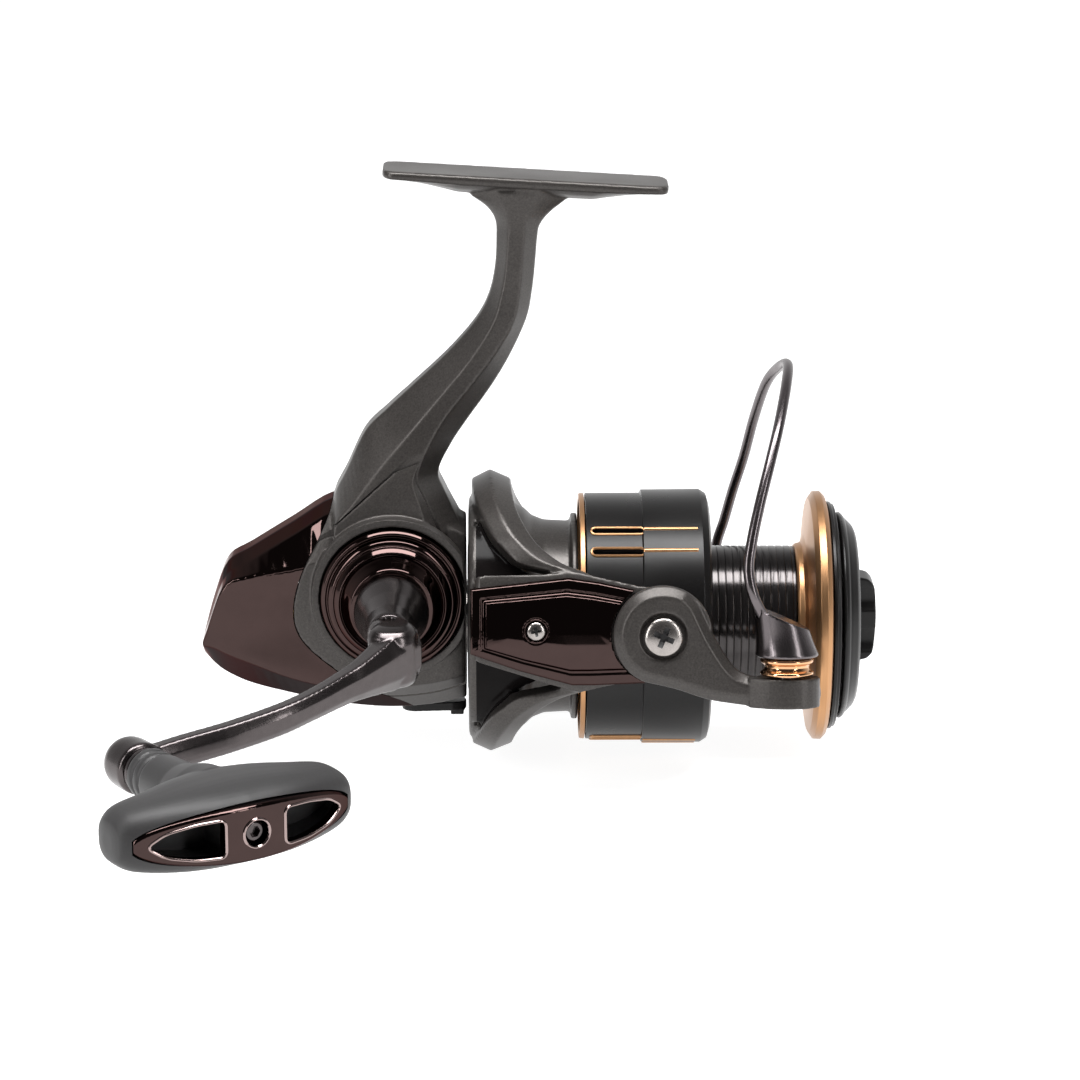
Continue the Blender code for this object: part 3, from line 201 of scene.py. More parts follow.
BRIGHT_RIM = finish("bright_rim", (0.30, 0.23, 0.22), 0.15, 1.0, 0.05, 500.0)
PLASTIC = finish("black_plastic", (0.024, 0.024, 0.026), 0.45, 0.0, 0.15, 1500.0, 0.01)

SLOT_FINISH = {
    "gunmetal": GUNMETAL, "black_chrome": BLACK_CHROME, "dark_steel": DARK_STEEL, "gold": GOLD,
    "satin_black": ANODISED, "steel": STEEL, "brass": BRASS, "soft_grip": SOFT_GRIP, "drag_felt": FELT,
    "black_plastic": PLASTIC,
}
SLOT_OF = {entry["node"]: entry["material_slot"] for entry in frame["record"]["subparts"]}
for name, shown in frame["nodes"].items():
    shown.data.materials.clear()
    shown.data.materials.append(SLOT_FINISH[SLOT_OF[name]])

# --- Mesh helpers


def loft(sections, closed=False):
    """A closed tube through rings of points that all have the same count."""
    bm = bmesh.new()
    rings = [[bm.verts.new(Vector(p) * MM) for p in ring] for ring in sections]
    count = len(rings[0])
    pairs = list(zip(rings, rings[1:]))
    if closed:
        pairs.append((rings[-1], rings[0]))
    for low, high in pairs:
        for i in range(count):
            j = (i + 1) % count
            bm.faces.new((low[i], low[j], high[j], high[i]))
    if not closed:
        bm.faces.new(rings[0])
        bm.faces.new(rings[-1])
    return bm


def rounded(profile, radius, parts=3):
    """The closed profile with each corner off the axis cut by a small arc."""
    out = []
    count = len(profile)
    for i in range(count):
        before, corner, after = (Vector(profile[(i + k) % count]) for k in (-1, 0, 1))
        if corner.y == 0 and before.y >= 0 and after.y >= 0:
            out.append(tuple(corner))
            continue
        inward, outward = before - corner, after - corner
        reach = min(radius, inward.length * 0.45, outward.length * 0.45)
        start = corner + inward.normalized() * reach
        end = corner + outward.normalized() * reach
        for k in range(parts + 1):
            t = k / parts
            out.append(tuple(start * (1 - t) ** 2 + corner * 2 * t * (1 - t) + end * t * t))
    return out


def turned(profile, axis="X", steps=96, at=(0, 0, 0), corner=0.25):
    """A body turned about an axis; the closed profile lists (place along axis, radius)."""
    if corner:
        profile = rounded(profile, corner)
    sections = []
    for k in range(steps):
        angle = math.tau * k / steps
        ring = []
        for along, radius in profile:
            u, v = radius * math.cos(angle), radius * math.sin(angle)
            point = {"X": (along, u, v), "Y": (v, along, u), "Z": (u, v, along)}[axis]
            ring.append(tuple(a + b for a, b in zip(point, at)))
        sections.append(ring)
    bm = loft(sections, closed=True)
    bmesh.ops.remove_doubles(bm, verts=bm.verts, dist=1e-7)
    return bm


def prism(outline, low, high, plane="XZ"):
    """An outline in the XZ or XY plane, pushed along the third axis."""
    rings = []
    for depth in (low, high):
        rings.append([(u, depth, v) if plane == "XZ" else (u, v, depth) for u, v in outline])
    return loft(rings)


def box(low, high):
    outline = [(low[0], low[1]), (high[0], low[1]), (high[0], high[1]), (low[0], high[1])]
    return prism(outline, low[2], high[2], "XY")


def circle(cx, cy, radius, steps=48, start=0.0, sweep=math.tau):
    count = steps if sweep >= math.tau else steps + 1
    turn = [start + sweep * i / steps for i in range(count)]
    return [(cx + radius * math.cos(a), cy + radius * math.sin(a)) for a in turn]


def curve_through(rows, between):
    """Catmull-Rom rows of numbers through the given ones."""
    rows = [tuple(row) for row in rows]
    first = tuple(2 * a - b for a, b in zip(rows[0], rows[1]))
    last = tuple(2 * a - b for a, b in zip(rows[-1], rows[-2]))
    padded = [first] + rows + [last]
    out = []
    for a, b, c, d in zip(padded, padded[1:], padded[2:], padded[3:]):
        for i in range(between):
            t = i / between
            out.append(tuple(
                0.5 * (2 * q + (r - p) * t + (2 * p - 5 * q + 4 * r - s) * t**2
                       + (3 * q - 3 * r + s - p) * t**3)
                for p, q, r, s in zip(a, b, c, d)
            ))
    return out + [rows[-1]]


def hoop(point, across, other, radius, sides):
    """A ring of points round one point of a wire."""
    turn = [math.tau * k / sides for k in range(sides)]
    return [tuple(point + (across * math.cos(a) + other * math.sin(a)) * radius) for a in turn]


def tube(path, radius, sides=24):
    """A round bar along points, with its rings kept from twisting."""
    points = [Vector(p) for p in path]
    normal = None
    rings = []
    for i, point in enumerate(points):
        along = (points[min(i + 1, len(points) - 1)] - points[max(i - 1, 0)]).normalized()
        if normal is None:
            normal = along.orthogonal().normalized()
        normal = (normal - along * normal.dot(along)).normalized()
        rings.append(hoop(point, normal, along.cross(normal), radius, sides))
    return loft(rings)


def placed(name, data):
    """A new object of the scene that holds the data."""
    made = bpy.data.objects.new(name, data)
    bpy.context.scene.collection.objects.link(made)
    return made


def meshed(bm, place):
    """A mesh of the form moved to its place, its faces outwards; the form is used up."""
    bm.transform(place)
    bmesh.ops.recalc_face_normals(bm, faces=bm.faces)
    mesh = bpy.data.meshes.new("form")
    bm.to_mesh(mesh)
    bm.free()
    return mesh


def form(bm, place):
    """A working object whose mesh is in world metres."""
    return placed("form", meshed(bm, place))


def applied(target):
    """Replaces the object's mesh by what its modifiers make of it."""
    graph = bpy.context.evaluated_depsgraph_get()
    mesh = bpy.data.meshes.new_from_object(target.evaluated_get(graph))
    target.modifiers.clear()
    old = target.data
    target.data = mesh
    bpy.data.meshes.remove(old)
    return target


def combined(target, operation, tools):
    """The target after each tool in turn; the tools are used up."""
    for tool in tools:
        change = target.modifiers.new("combine", "BOOLEAN")
        change.operation = operation
        change.solver = "EXACT"
        change.object = tool
        applied(target)
        bpy.data.objects.remove(tool)
    return target


def cut(target, *tools):
    return combined(target, "DIFFERENCE", tools)


def fuse(target, *tools):
    return combined(target, "UNION", tools)


def keep(target, *tools):
    return combined(target, "INTERSECT", tools)


def cast(target, voxel=0.35, rounds=8):
    """Melts a faceted form into one skin with soft edges, as a casting has."""
    change = target.modifiers.new("skin", "REMESH")
    change.mode = "VOXEL"
    change.voxel_size = voxel * 1.0 * MM
    change = target.modifiers.new("soften", "SMOOTH")
    change.factor = 0.5
    change.iterations = rounds
    return applied(target)


CREASE = math.radians(32.0)  # faces that meet at more than this keep a sharp edge


def piece(name, made, body, slot, *materials, replaces=(), second=None):
    """Names the finished form and lets it ride on its CAD body.

    Without materials it takes its slot's own finish. second tells from a face's middle
    whether the face takes the second material.
    """
    made.name = name
    made.data.name = name
    made.data.materials.clear()
    for material in materials or [SLOT_FINISH[slot]]:
        made.data.materials.append(material)
    if second:
        for face in made.data.polygons:
            face.material_index = int(second(face.center))
    made.data.shade_smooth()
    made.data.set_sharp_from_angle(angle=CREASE)
    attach(made, body)
    if replaces:
        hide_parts(*replaces)


# --- Main casting, side cover and rear shell

# Housing sections along X: top, bottom, half width, height of the lower crease and how far
# up the side is flat, as a share of the height above the crease
HOUSING = [
    (-12.9, 22.5, -16.6, 13.6, -9.0, 0.45), (-20.0, 26.0, -18.0, 14.5, -10.5, 0.45),
    (-30.0, 28.7, -18.6, 14.5, -11.6, 0.50), (-41.0, 27.5, -17.6, 13.8, -11.6, 0.70),
    (-50.0, 22.1, -15.8, 12.8, -10.0, 0.76), (-59.0, 16.5, -13.6, 11.6, -6.8, 0.82),
    (-64.1, 13.3, -11.4, 10.7, -5.0, 0.84), (-67.0, 6.2, -9.4, 9.8, -3.9, 0.80),
    (-69.6, -3.0, -6.7, 7.8, -4.2, 0.60),
]
# Stem sections from the foot down: rear edge, rear and front lines of the side facet and
# front edge (each X, Z), then half width at the facet and at the edges
STEM = [
    (-11.6, 93.0, -5.5, 94.2, 3.0, 94.2, 8.4, 92.0, 6.4, 3.5),
    (-8.2, 90.4, -4.0, 90.2, 0.7, 90.0, 5.2, 89.3, 6.0, 2.6),
    (-6.4, 87.4, -3.6, 87.0, -0.3, 87.0, 3.0, 86.5, 5.8, 2.0),
    (-6.2, 83.4, -3.8, 83.4, -0.5, 83.5, 2.4, 83.6, 5.8, 1.8),
    (-6.5, 77.4, -4.3, 77.0, -1.0, 77.3, 1.9, 77.6, 6.0, 1.8),
    (-7.8, 71.4, -5.4, 71.0, -1.6, 71.6, 1.3, 72.2, 6.2, 1.8),
    (-10.6, 66.0, -7.2, 65.6, -2.8, 66.3, 0.1, 66.2, 6.6, 1.8),
    (-16.6, 59.0, -12.0, 58.0, -6.8, 59.5, -3.4, 58.4, 7.2, 2.0),
    (-24.0, 52.0, -18.6, 50.0, -12.0, 52.8, -7.4, 51.6, 8.0, 2.2),
    (-29.6, 46.8, -25.6, 41.8, -17.4, 46.2, -12.4, 44.6, 9.2, 2.6),
    (-34.3, 42.0, -31.4, 35.0, -21.4, 39.0, -16.0, 39.2, 10.5, 3.0),
    (-38.2, 33.8, -36.6, 28.6, -24.0, 33.4, -18.7, 33.4, 12.0, 3.4),
    (-41.2, 27.0, -40.8, 23.0, -22.6, 28.4, -17.4, 29.2, 13.2, 4.0),
    (-40.6, 17.0, -39.0, 16.0, -20.0, 20.0, -14.0, 22.0, 13.4, 6.0),
]
# Joint line between the casting and the rear shell, from the top round to the bottom
REAR_LINE = [
    (-41.3, 31.0), (-41.3, 27.0), (-44.0, 20.6), (-47.2, 14.6), (-49.3, 8.0), (-49.4, 2.0), (-46.8, -2.8),
    (-40.6, -8.0), (-33.9, -12.5), (-27.0, -16.2), (-21.5, -21.0),
]
FOOT_EDGE, KEEL = 1.7, 2.5  # the foot's thickness at its edge, and what its keel adds
COVER_FRONT = -13.2
COVER_PLANE = 10.4  # the side cover is what lies outside this half width
RIM_R = 17.3
CAP_R = 15.3
AT_HANDLE = (HANDLE_X, 0, HANDLE_Z)


def housing_ring(x, top, bottom, half, crease, flat, wall=0.0):
    width = half - wall
    right = [
        (3.0, top - wall),
        (half * 0.62 - wall * 0.8, top - wall - min(1.9, 0.25 * (top - crease))),
        (width, crease + max(flat * (top - crease - wall), 0.4)),
        (width, crease),
        (half * 0.42, bottom + wall),
    ]
    left = [(-y, z) for y, z in reversed(right)]
    return [(x, y, z) for y, z in right + left]


def housing():
    return form(loft([housing_ring(*row) for row in curve_through(HOUSING, 4)]), IN_REEL)


def stem():
    rings = []
    for rx, rz, ax, az, bx, bz, fx, fz, half, edge in curve_through(STEM, 5):
        side = [((rx, rz), edge), ((ax, az), half), ((bx, bz), half), ((fx, fz), edge)]
        near = [(p[0], -y, p[1]) for p, y in side]
        rings.append(near + [(p[0], y, p[1]) for p, y in reversed(side)])
    return form(loft(rings), IN_REEL)


def foot():
    """The foot: a flat seat, and a keel under it that deepens towards the stem."""
    half_length, half_width, corner = 30.0, 7.0, 2.8
    stations = []
    for share in (0.0, 0.012, 0.035, 0.07, 0.12, 0.2, 0.3, 0.42, 0.53, 1.0):
        inset = half_length * share
        narrow = corner - math.sqrt(max(corner**2 - max(corner - inset, 0) ** 2, 0))
        depth = FOOT_EDGE + KEEL * min(share / 0.53, 1.0) ** 1.3
        stations.append((half_length - inset, half_width - narrow, depth))
    stations = [(-x, w, d) for x, w, d in stations] + [(x, w, d) for x, w, d in reversed(stations[:-1])]
    rings = []
    for x, w, depth in stations:
        keel = depth - FOOT_EDGE
        right = [
            (w - 0.5, 0.0), (w, -0.5), (w, -FOOT_EDGE), (w * 0.75, -FOOT_EDGE - keel * 0.55),
            (w * 0.4, -depth),
        ]
        rings.append([(x, y, z) for y, z in right + [(-y, z) for y, z in reversed(right)]])
    return form(loft(rings), IN_FOOT)


def rear_region(shift):
    line = curve_through(REAR_LINE, 4)
    outline = [(x + shift, z) for x, z in line] + [(-90.0, -21.0), (-90.0, 31.0)]
    return form(prism(outline, -30, 30), IN_REEL)


def side_region(shift, front=-11.0):
    outline = [
        (front, 52.0), (-22.4 + shift, 40.4 - shift), (-41.8, 23.0 - shift), (-60.0, 6.0), (-60.0, -30.0),
        (front, -30.0),
    ]
    return form(prism(outline, -30, -COVER_PLANE - shift), IN_REEL)


def gearbox():
    rings = [housing_ring(*row, wall=2.4) for row in HOUSING[1:-2]]
    rings[0] = [(-17.5, y, z) for _, y, z in rings[0]]
    return form(loft(rings), IN_REEL)


def bored(low, high, radius, at=(0, 0, 0), place=IN_REEL, axis="Y"):
    """A plain round bar that bores a hole."""
    outline = [(low, 0), (low, radius), (high, radius), (high, 0)]
    return form(turned(outline, axis, 48, at, corner=0), place)


BODY_SCREWS = [(-18.5, -12.0), (-43.0, 8.0), (-19.5, 20.5)]

body = cast(fuse(housing(), stem(), foot()), 0.34, 9)
cut(body, rear_region(0.0), side_region(0.0))
cut(body, bored(-12, -3.2, 14.0, AT_HANDLE), gearbox())
cut(body, bored(-20, -10, 8.3, axis="X"), bored(5, 30, 6.3, AT_HANDLE))
for x, z in BODY_SCREWS:
    cut(body, bored(11.0, 30.0, 2.4, (x, 0, z)), bored(2.0, 30.0, 1.3, (x, 0, z)))
piece("body_casting", body, "body", "gunmetal", replaces=["body_frame"])

side = fuse(housing(), stem())
cut(side, rear_region(0.0), gearbox())
keep(side, side_region(GAP, COVER_FRONT))
rim_outline = [(min(x, COVER_FRONT), z) for x, z in circle(HANDLE_X, HANDLE_Z, RIM_R, 120)]
fuse(side, form(prism(rim_outline, -16.4, -12.8), IN_REEL))
seat = [(-30, 0), (-30, CAP_R + GAP), (-14.6, CAP_R + GAP), (-14.6, 9.0), (0, 9.0), (0, 0)]
cut(side, form(turned(seat, "Y", 120, AT_HANDLE, corner=0), IN_REEL))
cast(side, 0.26, 7)
piece("side_plate", side, "body", "gunmetal", replaces=["side_cover"])

shell = keep(cast(housing(), 0.28, 14), rear_region(-SEAM))
cut(shell, gearbox())
piece("rear_shell", shell, "body", "black_chrome", replaces=["rear_cover"])

# --- Caps and fittings of the body

CAP_STEPS = [
    (-15.0, 15.3), (-17.5, 15.3), (-18.2, 14.7), (-18.2, 14.2), (-17.9, 14.0), (-18.0, 13.7), (-19.5, 13.6),
    (-20.0, 12.9), (-20.0, 12.5), (-20.6, 12.3), (-21.6, 11.4), (-21.5, 11.1), (-21.2, 10.9), (-22.2, 10.4),
    (-23.0, 9.9), (-24.4, 9.1), (-25.0, 8.7),
]
CAP_INSIDE = [(-15.0, 8.6), (-10.8, 8.6), (-10.8, 7.7), (-16.0, 7.7), (-16.0, 4.2)]
cap = form(turned([(-25.0, 4.2)] + CAP_STEPS[::-1] + CAP_INSIDE, "Y", 144, AT_HANDLE, 0.3), IN_REEL)
piece("handle_ring", cap, "body", "black_chrome", replaces=["ring_cap"])
FAR_CAP = [
    (13.3, 0), (13.3, 6.0), (15.1, 6.0), (15.1, 9.4), (16.4, 9.4), (17.2, 8.6), (18.4, 7.4), (18.9, 5.2),
    (18.2, 4.6), (18.2, 0),
]
far_cap = form(turned(FAR_CAP, "Y", 96, AT_HANDLE, 0.3), IN_REEL)
for long, tall in ((3.0, 0.5), (0.5, 3.0)):
    low, high = (HANDLE_X - long, 17.4, HANDLE_Z - tall), (HANDLE_X + long, 20.0, HANDLE_Z + tall)
    cut(far_cap, form(box(low, high), IN_REEL))
piece("far_cap", far_cap, "body", "black_chrome", replaces=["far_side_cap"])


def cross_recess(radius, low, high, axis, at=(0, 0, 0), turn=0.0):
    """A cross-shaped driver recess, widest at its mouth (high)."""
    tools = []
    for quarter in (0, 1):
        angle = turn + quarter * math.pi / 2
        c, s = math.cos(angle), math.sin(angle)
        rings = []
        for along, grow in ((low, 0.35), (high, 1.0)):
            half_long, half_wide = radius * grow, radius * 0.22 * (0.7 + 0.3 * grow)
            ring = []
            for across, up in ((-1, -1), (1, -1), (1, 1), (-1, 1)):
                p, q = across * half_long, up * half_wide
                u, v = p * c - q * s, p * s + q * c
                point = {"Y": (u, along, v), "Z": (u, v, along)}[axis]
                ring.append(tuple(a + b for a, b in zip(point, at)))
            rings.append(ring)
        tools.append(loft(rings))
    return tools


def domed_screw(name, body, seat, radius, height, shank_r, end, at, place, recess, turn, sign=1):
    """A screw along Y with a domed head on its seat; sign is the side its head faces."""

    def dome(r):
        return seat + height * (0.25 + 0.75 * math.sqrt(max(1 - (r / radius) ** 2, 0)))

    # painted shade: the faces inside the cross recess take the flat black in place of the shade that falls
    # in the recess
    def in_shaded_recess(middle):
        local = back @ middle / MM - Vector(at)
        r, along = math.hypot(local.x, local.z), local.y * sign
        return r < radius * 0.7 and seat < along < dome(r) - 0.07

    back = place.inverted()
    profile = [(end, 0), (end, shank_r), (seat, shank_r), (seat, radius)]
    radii = [radius * math.cos(math.pi / 2 * k / 8) for k in range(1, 8)]
    profile += [(seat + height * 0.25, radius)] + [(dome(r), r) for r in radii] + [(seat + height, 0)]
    made = form(turned([(a * sign, r) for a, r in profile], "Y", 48, at, corner=0.08), place)
    mouth, floor = (seat + height + 0.2) * sign, (seat + height - recess) * sign
    for tool in cross_recess(radius * 0.68, floor, mouth, "Y", at, turn):
        cut(made, form(tool, place))
    piece(name + "_head", made, body, "steel", STEEL, RECESS_SHADE, replaces=[name], second=in_shaded_recess)


for number, (x, z) in enumerate(BODY_SCREWS, 1):
    domed_screw(f"body_screw_{number}", "body", 11.3, 1.95, 1.25, 0.95, 6.8, (x, 0, z), IN_REEL,
                0.7, 0.4 * number)

LEVER_TIP = [(8.0, -2.4), (10.6, -1.7), (11.0, 0.0), (10.6, 1.7), (8.0, 2.4)]
LEVER_OUTLINE = circle(0, 0, 3.0, 24, math.pi / 2, math.pi) + LEVER_TIP
lever = form(prism(LEVER_OUTLINE, -1.2, 0.7, "XY"), IN_LEVER)
fuse(lever, form(box((7.6, -2.0, -2.2), (10.4, 2.0, -0.9)), IN_LEVER))
cast(lever, 0.16, 5)
piece("lever", lever, "stop_lever", "satin_black", replaces=["anti_reverse_lever"])

# --- Rotor

# Arm stations along X: half angle, outer radius, inner radius
ARM = [
    (-10.9, 21.0, 32.2, 24.2), (-10.0, 21.4, 33.1, 24.2), (2.6, 22.0, 33.1, 24.2), (6.0, 22.4, 33.1, 28.5),
    (11.0, 22.6, 33.1, 28.5), (17.0, 20.0, 33.1, 28.5), (23.0, 17.6, 33.1, 28.5), (29.0, 16.4, 33.1, 28.5),
    (33.0, 14.0, 33.1, 28.5), (36.0, 9.4, 33.1, 28.5), (37.6, 4.0, 33.1, 28.5),
]
# Brace stations round the rotor: degrees, front edge, ridge and rear edge along X, radius of
# the ridge, of the edges and of the inside
BRACE = [
    (16.0, 15.0, 11.6, 8.2, 32.9, 32.6, 28.8), (22.0, 13.2, 10.0, 6.6, 33.0, 32.4, 28.6),
    (27.0, 7.4, 2.8, -1.5, 32.8, 31.8, 28.2), (34.0, 3.2, -1.4, -5.0, 32.5, 31.0, 26.0),
    (42.0, 0.4, -4.0, -7.8, 32.2, 30.6, 24.4), (55.0, -2.0, -6.3, -10.0, 31.9, 30.2, 23.6),
    (70.0, -3.0, -7.4, -11.3, 31.8, 30.0, 23.3), (90.0, -3.3, -7.8, -11.7, 31.8, 29.8, 23.2),
]
LOWER_BRACE_SHARE = 0.915  # the lower brace stands less proud
# Recessed web panels between arm and brace: degrees, front end along X
WEB = [(17.0, 4.8), (23.0, 3.4), (28.6, -1.2), (35.2, -5.0), (43.4, -7.6), (53.0, -9.4)]
WEB_R = 26.4
ROTOR_CUP = [
    (-12.4, 22.4), (-12.4, 25.0), (-12.1, 26.0), (-10.9, 26.0), (-10.7, 24.9), (-2.5, 24.6), (-0.6, 23.6),
    (1.2, 21.9), (3.7, 20.9), (9.4, 20.6), (9.6, 22.3), (10.9, 22.3), (10.9, 18.8), (4.6, 18.6), (4.2, 7.2),
    (4.2, 4.55), (-1.6, 4.55), (-1.6, 7.6), (1.2, 17.6), (-2.6, 21.4),
]
COVER_SCREW = (1.8, 0, 0.8)
PIVOT_AT = (PIVOT_X, 0, 0)
PIVOT_HOLE_R = 2.2
DISC_R = 10.4  # the round end of the bail's near arm
COVER_HOLE_R = 1.25
# The lower edge of the arm's cover, from its rear end to its kink
COVER_REAR_X, COVER_REAR_Z = -11.9, -4.1
COVER_KINK_X, COVER_SLOPE = 9.4, -0.33
FRAME_WIDTH = 1.4
SPRING_POCKET = ((4.5, -40.0, -3.6), (16.0, -30.2, 3.6))


def polar(x, radius, degrees, side=1):
    """A point of the rotor; 0 degrees is the near arm and 90 the top."""
    angle = math.radians(degrees)
    return (x, -radius * math.cos(angle) * side, radius * math.sin(angle))


def arm_form(side):
    rings = []
    for x, half, outer, inner in ARM:
        # behind its kink the lower edge follows the cover's lower edge, with a narrow frame
        frame = COVER_REAR_Z + COVER_SLOPE * (x - COVER_REAR_X) - FRAME_WIDTH
        low = -min(half, math.degrees(math.asin(-frame / outer))) if x < COVER_KINK_X else -half
        angles = [low + (half - low) * k / 16 for k in range(17)]
        ring = [polar(x, outer, a, side) for a in angles]
        rings.append(ring + [polar(x, inner, a, side) for a in reversed(angles)])
    return form(loft(rings), IN_ROTOR)


def brace_form(up):
    stations = BRACE + [(180 - row[0], *row[1:]) for row in reversed(BRACE[:-1])]
    rings = []
    for degrees, front, middle, rear, ridge, edge, inner in curve_through(stations, 6):
        rise = max(0.0, math.sin(math.radians(degrees)) - 0.3) / 0.7
        share = 1.0 if up > 0 else 1 - (1 - LOWER_BRACE_SHARE) * rise
        low, high = edge * share, ridge * share
        ring = [(rear, inner), (rear, low), (middle, high), (front, low), (front, inner)]
        rings.append([polar(x, r, degrees * up) for x, r in ring])
    return form(loft(rings), IN_ROTOR)


def web_form(side, up):
    rings = []
    start = [(5.0, 5.0)] if up < 0 else []  # the lower web reaches under the narrower side of the arm
    for degrees, front in curve_through(start + WEB, 4):
        ring = [(-11.3, 23.9), (-11.3, WEB_R), (front, WEB_R), (front, 23.9)]
        rings.append([polar(x, r, degrees * up, side) for x, r in ring])
    return form(loft(rings), IN_ROTOR)


rotor = form(turned(ROTOR_CUP, steps=120, corner=0.2), IN_ROTOR)
fuse(rotor, brace_form(1), brace_form(-1))
for side in (1, -1):
    fuse(rotor, arm_form(side), web_form(side, 1), web_form(side, -1))
for side in (-1, 1):
    cut(rotor, bored(29 * side, 60 * side, PIVOT_HOLE_R, PIVOT_AT, IN_ROTOR))
    cut(rotor, bored(30 * side, 60 * side, COVER_HOLE_R, COVER_SCREW, IN_ROTOR))
cut(rotor, form(box(*SPRING_POCKET), IN_ROTOR))
cast(rotor, 0.32, 8)
to_rotor = IN_ROTOR.inverted()


def in_web(middle):
    local = to_rotor @ middle / MM
    radius = math.hypot(local.y, local.z)
    angle = math.degrees(math.atan2(abs(local.z), abs(local.y)))
    least = 20 if local.z > 0 else 6  # the arm is wider above its middle
    return -10.6 < local.x < 5.5 and WEB_R - 2.2 < radius < WEB_R + 1.2 and least < angle < 56


piece("rotor_casting", rotor, "rotor_group", "gunmetal", GUNMETAL, GLOSS_BLACK, replaces=["rotor"],
      second=in_web)

# --- Arm covers and screws

COVER_OUTLINE = [
    (-11.9, -4.1), (-11.9, 9.5), (-1.5, 10.6), (8.6, 11.7), (15.0, 10.8), (24.5, 8.8), (28.0, 0.0),
    (24.5, -10.5), (14.0, -10.9), (9.4, -10.9), (-1.8, -7.7),
]
COVER_MIDDLE = (6.5, 0.4)
# Rings of the cover from its underside to the middle of its raised panel: inset, radius
COVER_RINGS = [
    (0.0, 33.4), (0.0, 33.8), (0.35, 34.2), (1.9, 34.5), (2.25, 34.15), (2.7, 34.2), (3.2, 34.9),
    (5.0, 35.0), (7.5, 35.05), (9.7, 35.05),
]
SCREW_RIM = [(33.9, 2.25), (33.9, 2.62), (35.05, 2.62), (35.15, 2.45), (35.05, 2.28)]


def spaced(outline, step):
    """The closed outline with points about every step along it."""
    out = []
    for a, b in zip(outline, outline[1:] + outline[:1]):
        count = max(1, round(math.dist(a, b) / step))
        out += [tuple(p + (q - p) * i / count for p, q in zip(a, b)) for i in range(count)]
    return out


def arm_cover(side, name):
    points = spaced(COVER_OUTLINE, 1.2)
    cx, cz = COVER_MIDDLE
    rings = []
    for inset, radius in COVER_RINGS:
        ring = []
        for x, z in points:
            px = cx + (x - cx) * (1 - inset / 17.8)
            pz = cz + (z - cz) * (1 - inset / 9.8)
            ring.append((px, math.sqrt(radius**2 - pz**2) * side, pz))
        rings.append(ring)
    made = form(loft(rings), IN_ROTOR)
    cut(made, bored(25 * side, 60 * side, DISC_R + 0.35, PIVOT_AT, IN_ROTOR))
    cut(made, bored(34.0 * side, 60 * side, 2.7, COVER_SCREW, IN_ROTOR))
    cut(made, bored(25 * side, 60 * side, COVER_HOLE_R, COVER_SCREW, IN_ROTOR))
    cast(made, 0.16, 3)
    piece(f"arm_panel_{name}", made, "rotor_group", "black_chrome",
          replaces=[f"arm_cover_{name}"])
    rim = turned([(along * side, r) for along, r in SCREW_RIM], "Y", 48, COVER_SCREW, 0.08)
    piece(f"screw_rim_{name}", form(rim, IN_ROTOR), "rotor_group", "black_chrome")


for side, name in ((-1, "near"), (1, "far")):
    arm_cover(side, name)
    domed_screw(f"cover_screw_{name}", "rotor_group", 34.3, 2.05, 1.2, 0.95, 30.8, COVER_SCREW,
                IN_ROTOR, 0.7, 0.2, side)
    domed_screw(f"pivot_screw_{name}", "rotor_group", 38.3, 4.0, 1.5, 1.9, 29.6, PIVOT_AT,
                IN_ROTOR, 1.2, -0.4, side)

# --- Bail

ROLLER_HOLE_R = 2.3
TAIL_TOP = [(33.3, 9.1), (35.7, 6.3), (38.8, -0.1), (42.8, -6.3), (46.0, -8.2), (50.0, -8.9), (58.4, -9.0)]
TAIL_END = [(60.4, -9.9), (61.0, -12.0), (60.6, -13.8), (59.2, -14.7)]
TAIL_BOTTOM = [(54.8, -15.2), (48.8, -15.0), (42.9, -14.3), (37.3, -13.3), (30.9, -11.2), (25.4, -9.9)]
TIP = [
    (46.0, -38.2), (50.0, -40.6), (54.0, -41.4), (58.0, -40.4), (60.5, -37.6), (60.5, -34.4), (58.0, -31.8),
    (54.0, -31.0), (50.0, -31.8), (46.0, -35.2),
]
FAR_LOBE = (42.6, 8.2)
# The wire, from the roller cover round over the top to the far arm
WIRE = [
    (49.5, -37.6, 3.0), (46.8, -39.6, 8.5), (45.7, -39.3, 13.9), (46.4, -38.3, 19.7), (48.2, -35.8, 27.4),
    (50.5, -31.9, 35.4), (52.8, -26.1, 43.2), (55.0, -15.9, 50.8), (56.0, -5.3, 54.5), (54.6, 3.0, 53.4),
    (52.5, 11.0, 49.5), (50.6, 21.3, 41.4), (48.8, 28.8, 32.2), (46.6, 32.8, 24.3), (44.8, 35.5, 17.2),
    (43.4, 36.2, 12.8), (42.9, 36.2, 9.4),
]
WIRE_R = 1.15


def inset(outline, depth):
    """The closed outline moved inwards along its corners' normals."""
    area = sum(a[0] * b[1] - b[0] * a[1] for a, b in zip(outline, outline[1:] + outline[:1]))
    turn = 1 if area > 0 else -1
    out = []
    count = len(outline)
    for i in range(count):
        a, b = Vector(outline[i - 1]), Vector(outline[(i + 1) % count])
        along = (b - a).normalized()
        out.append(tuple(Vector(outline[i]) + Vector((-along.y, along.x)) * depth * turn))
    return out


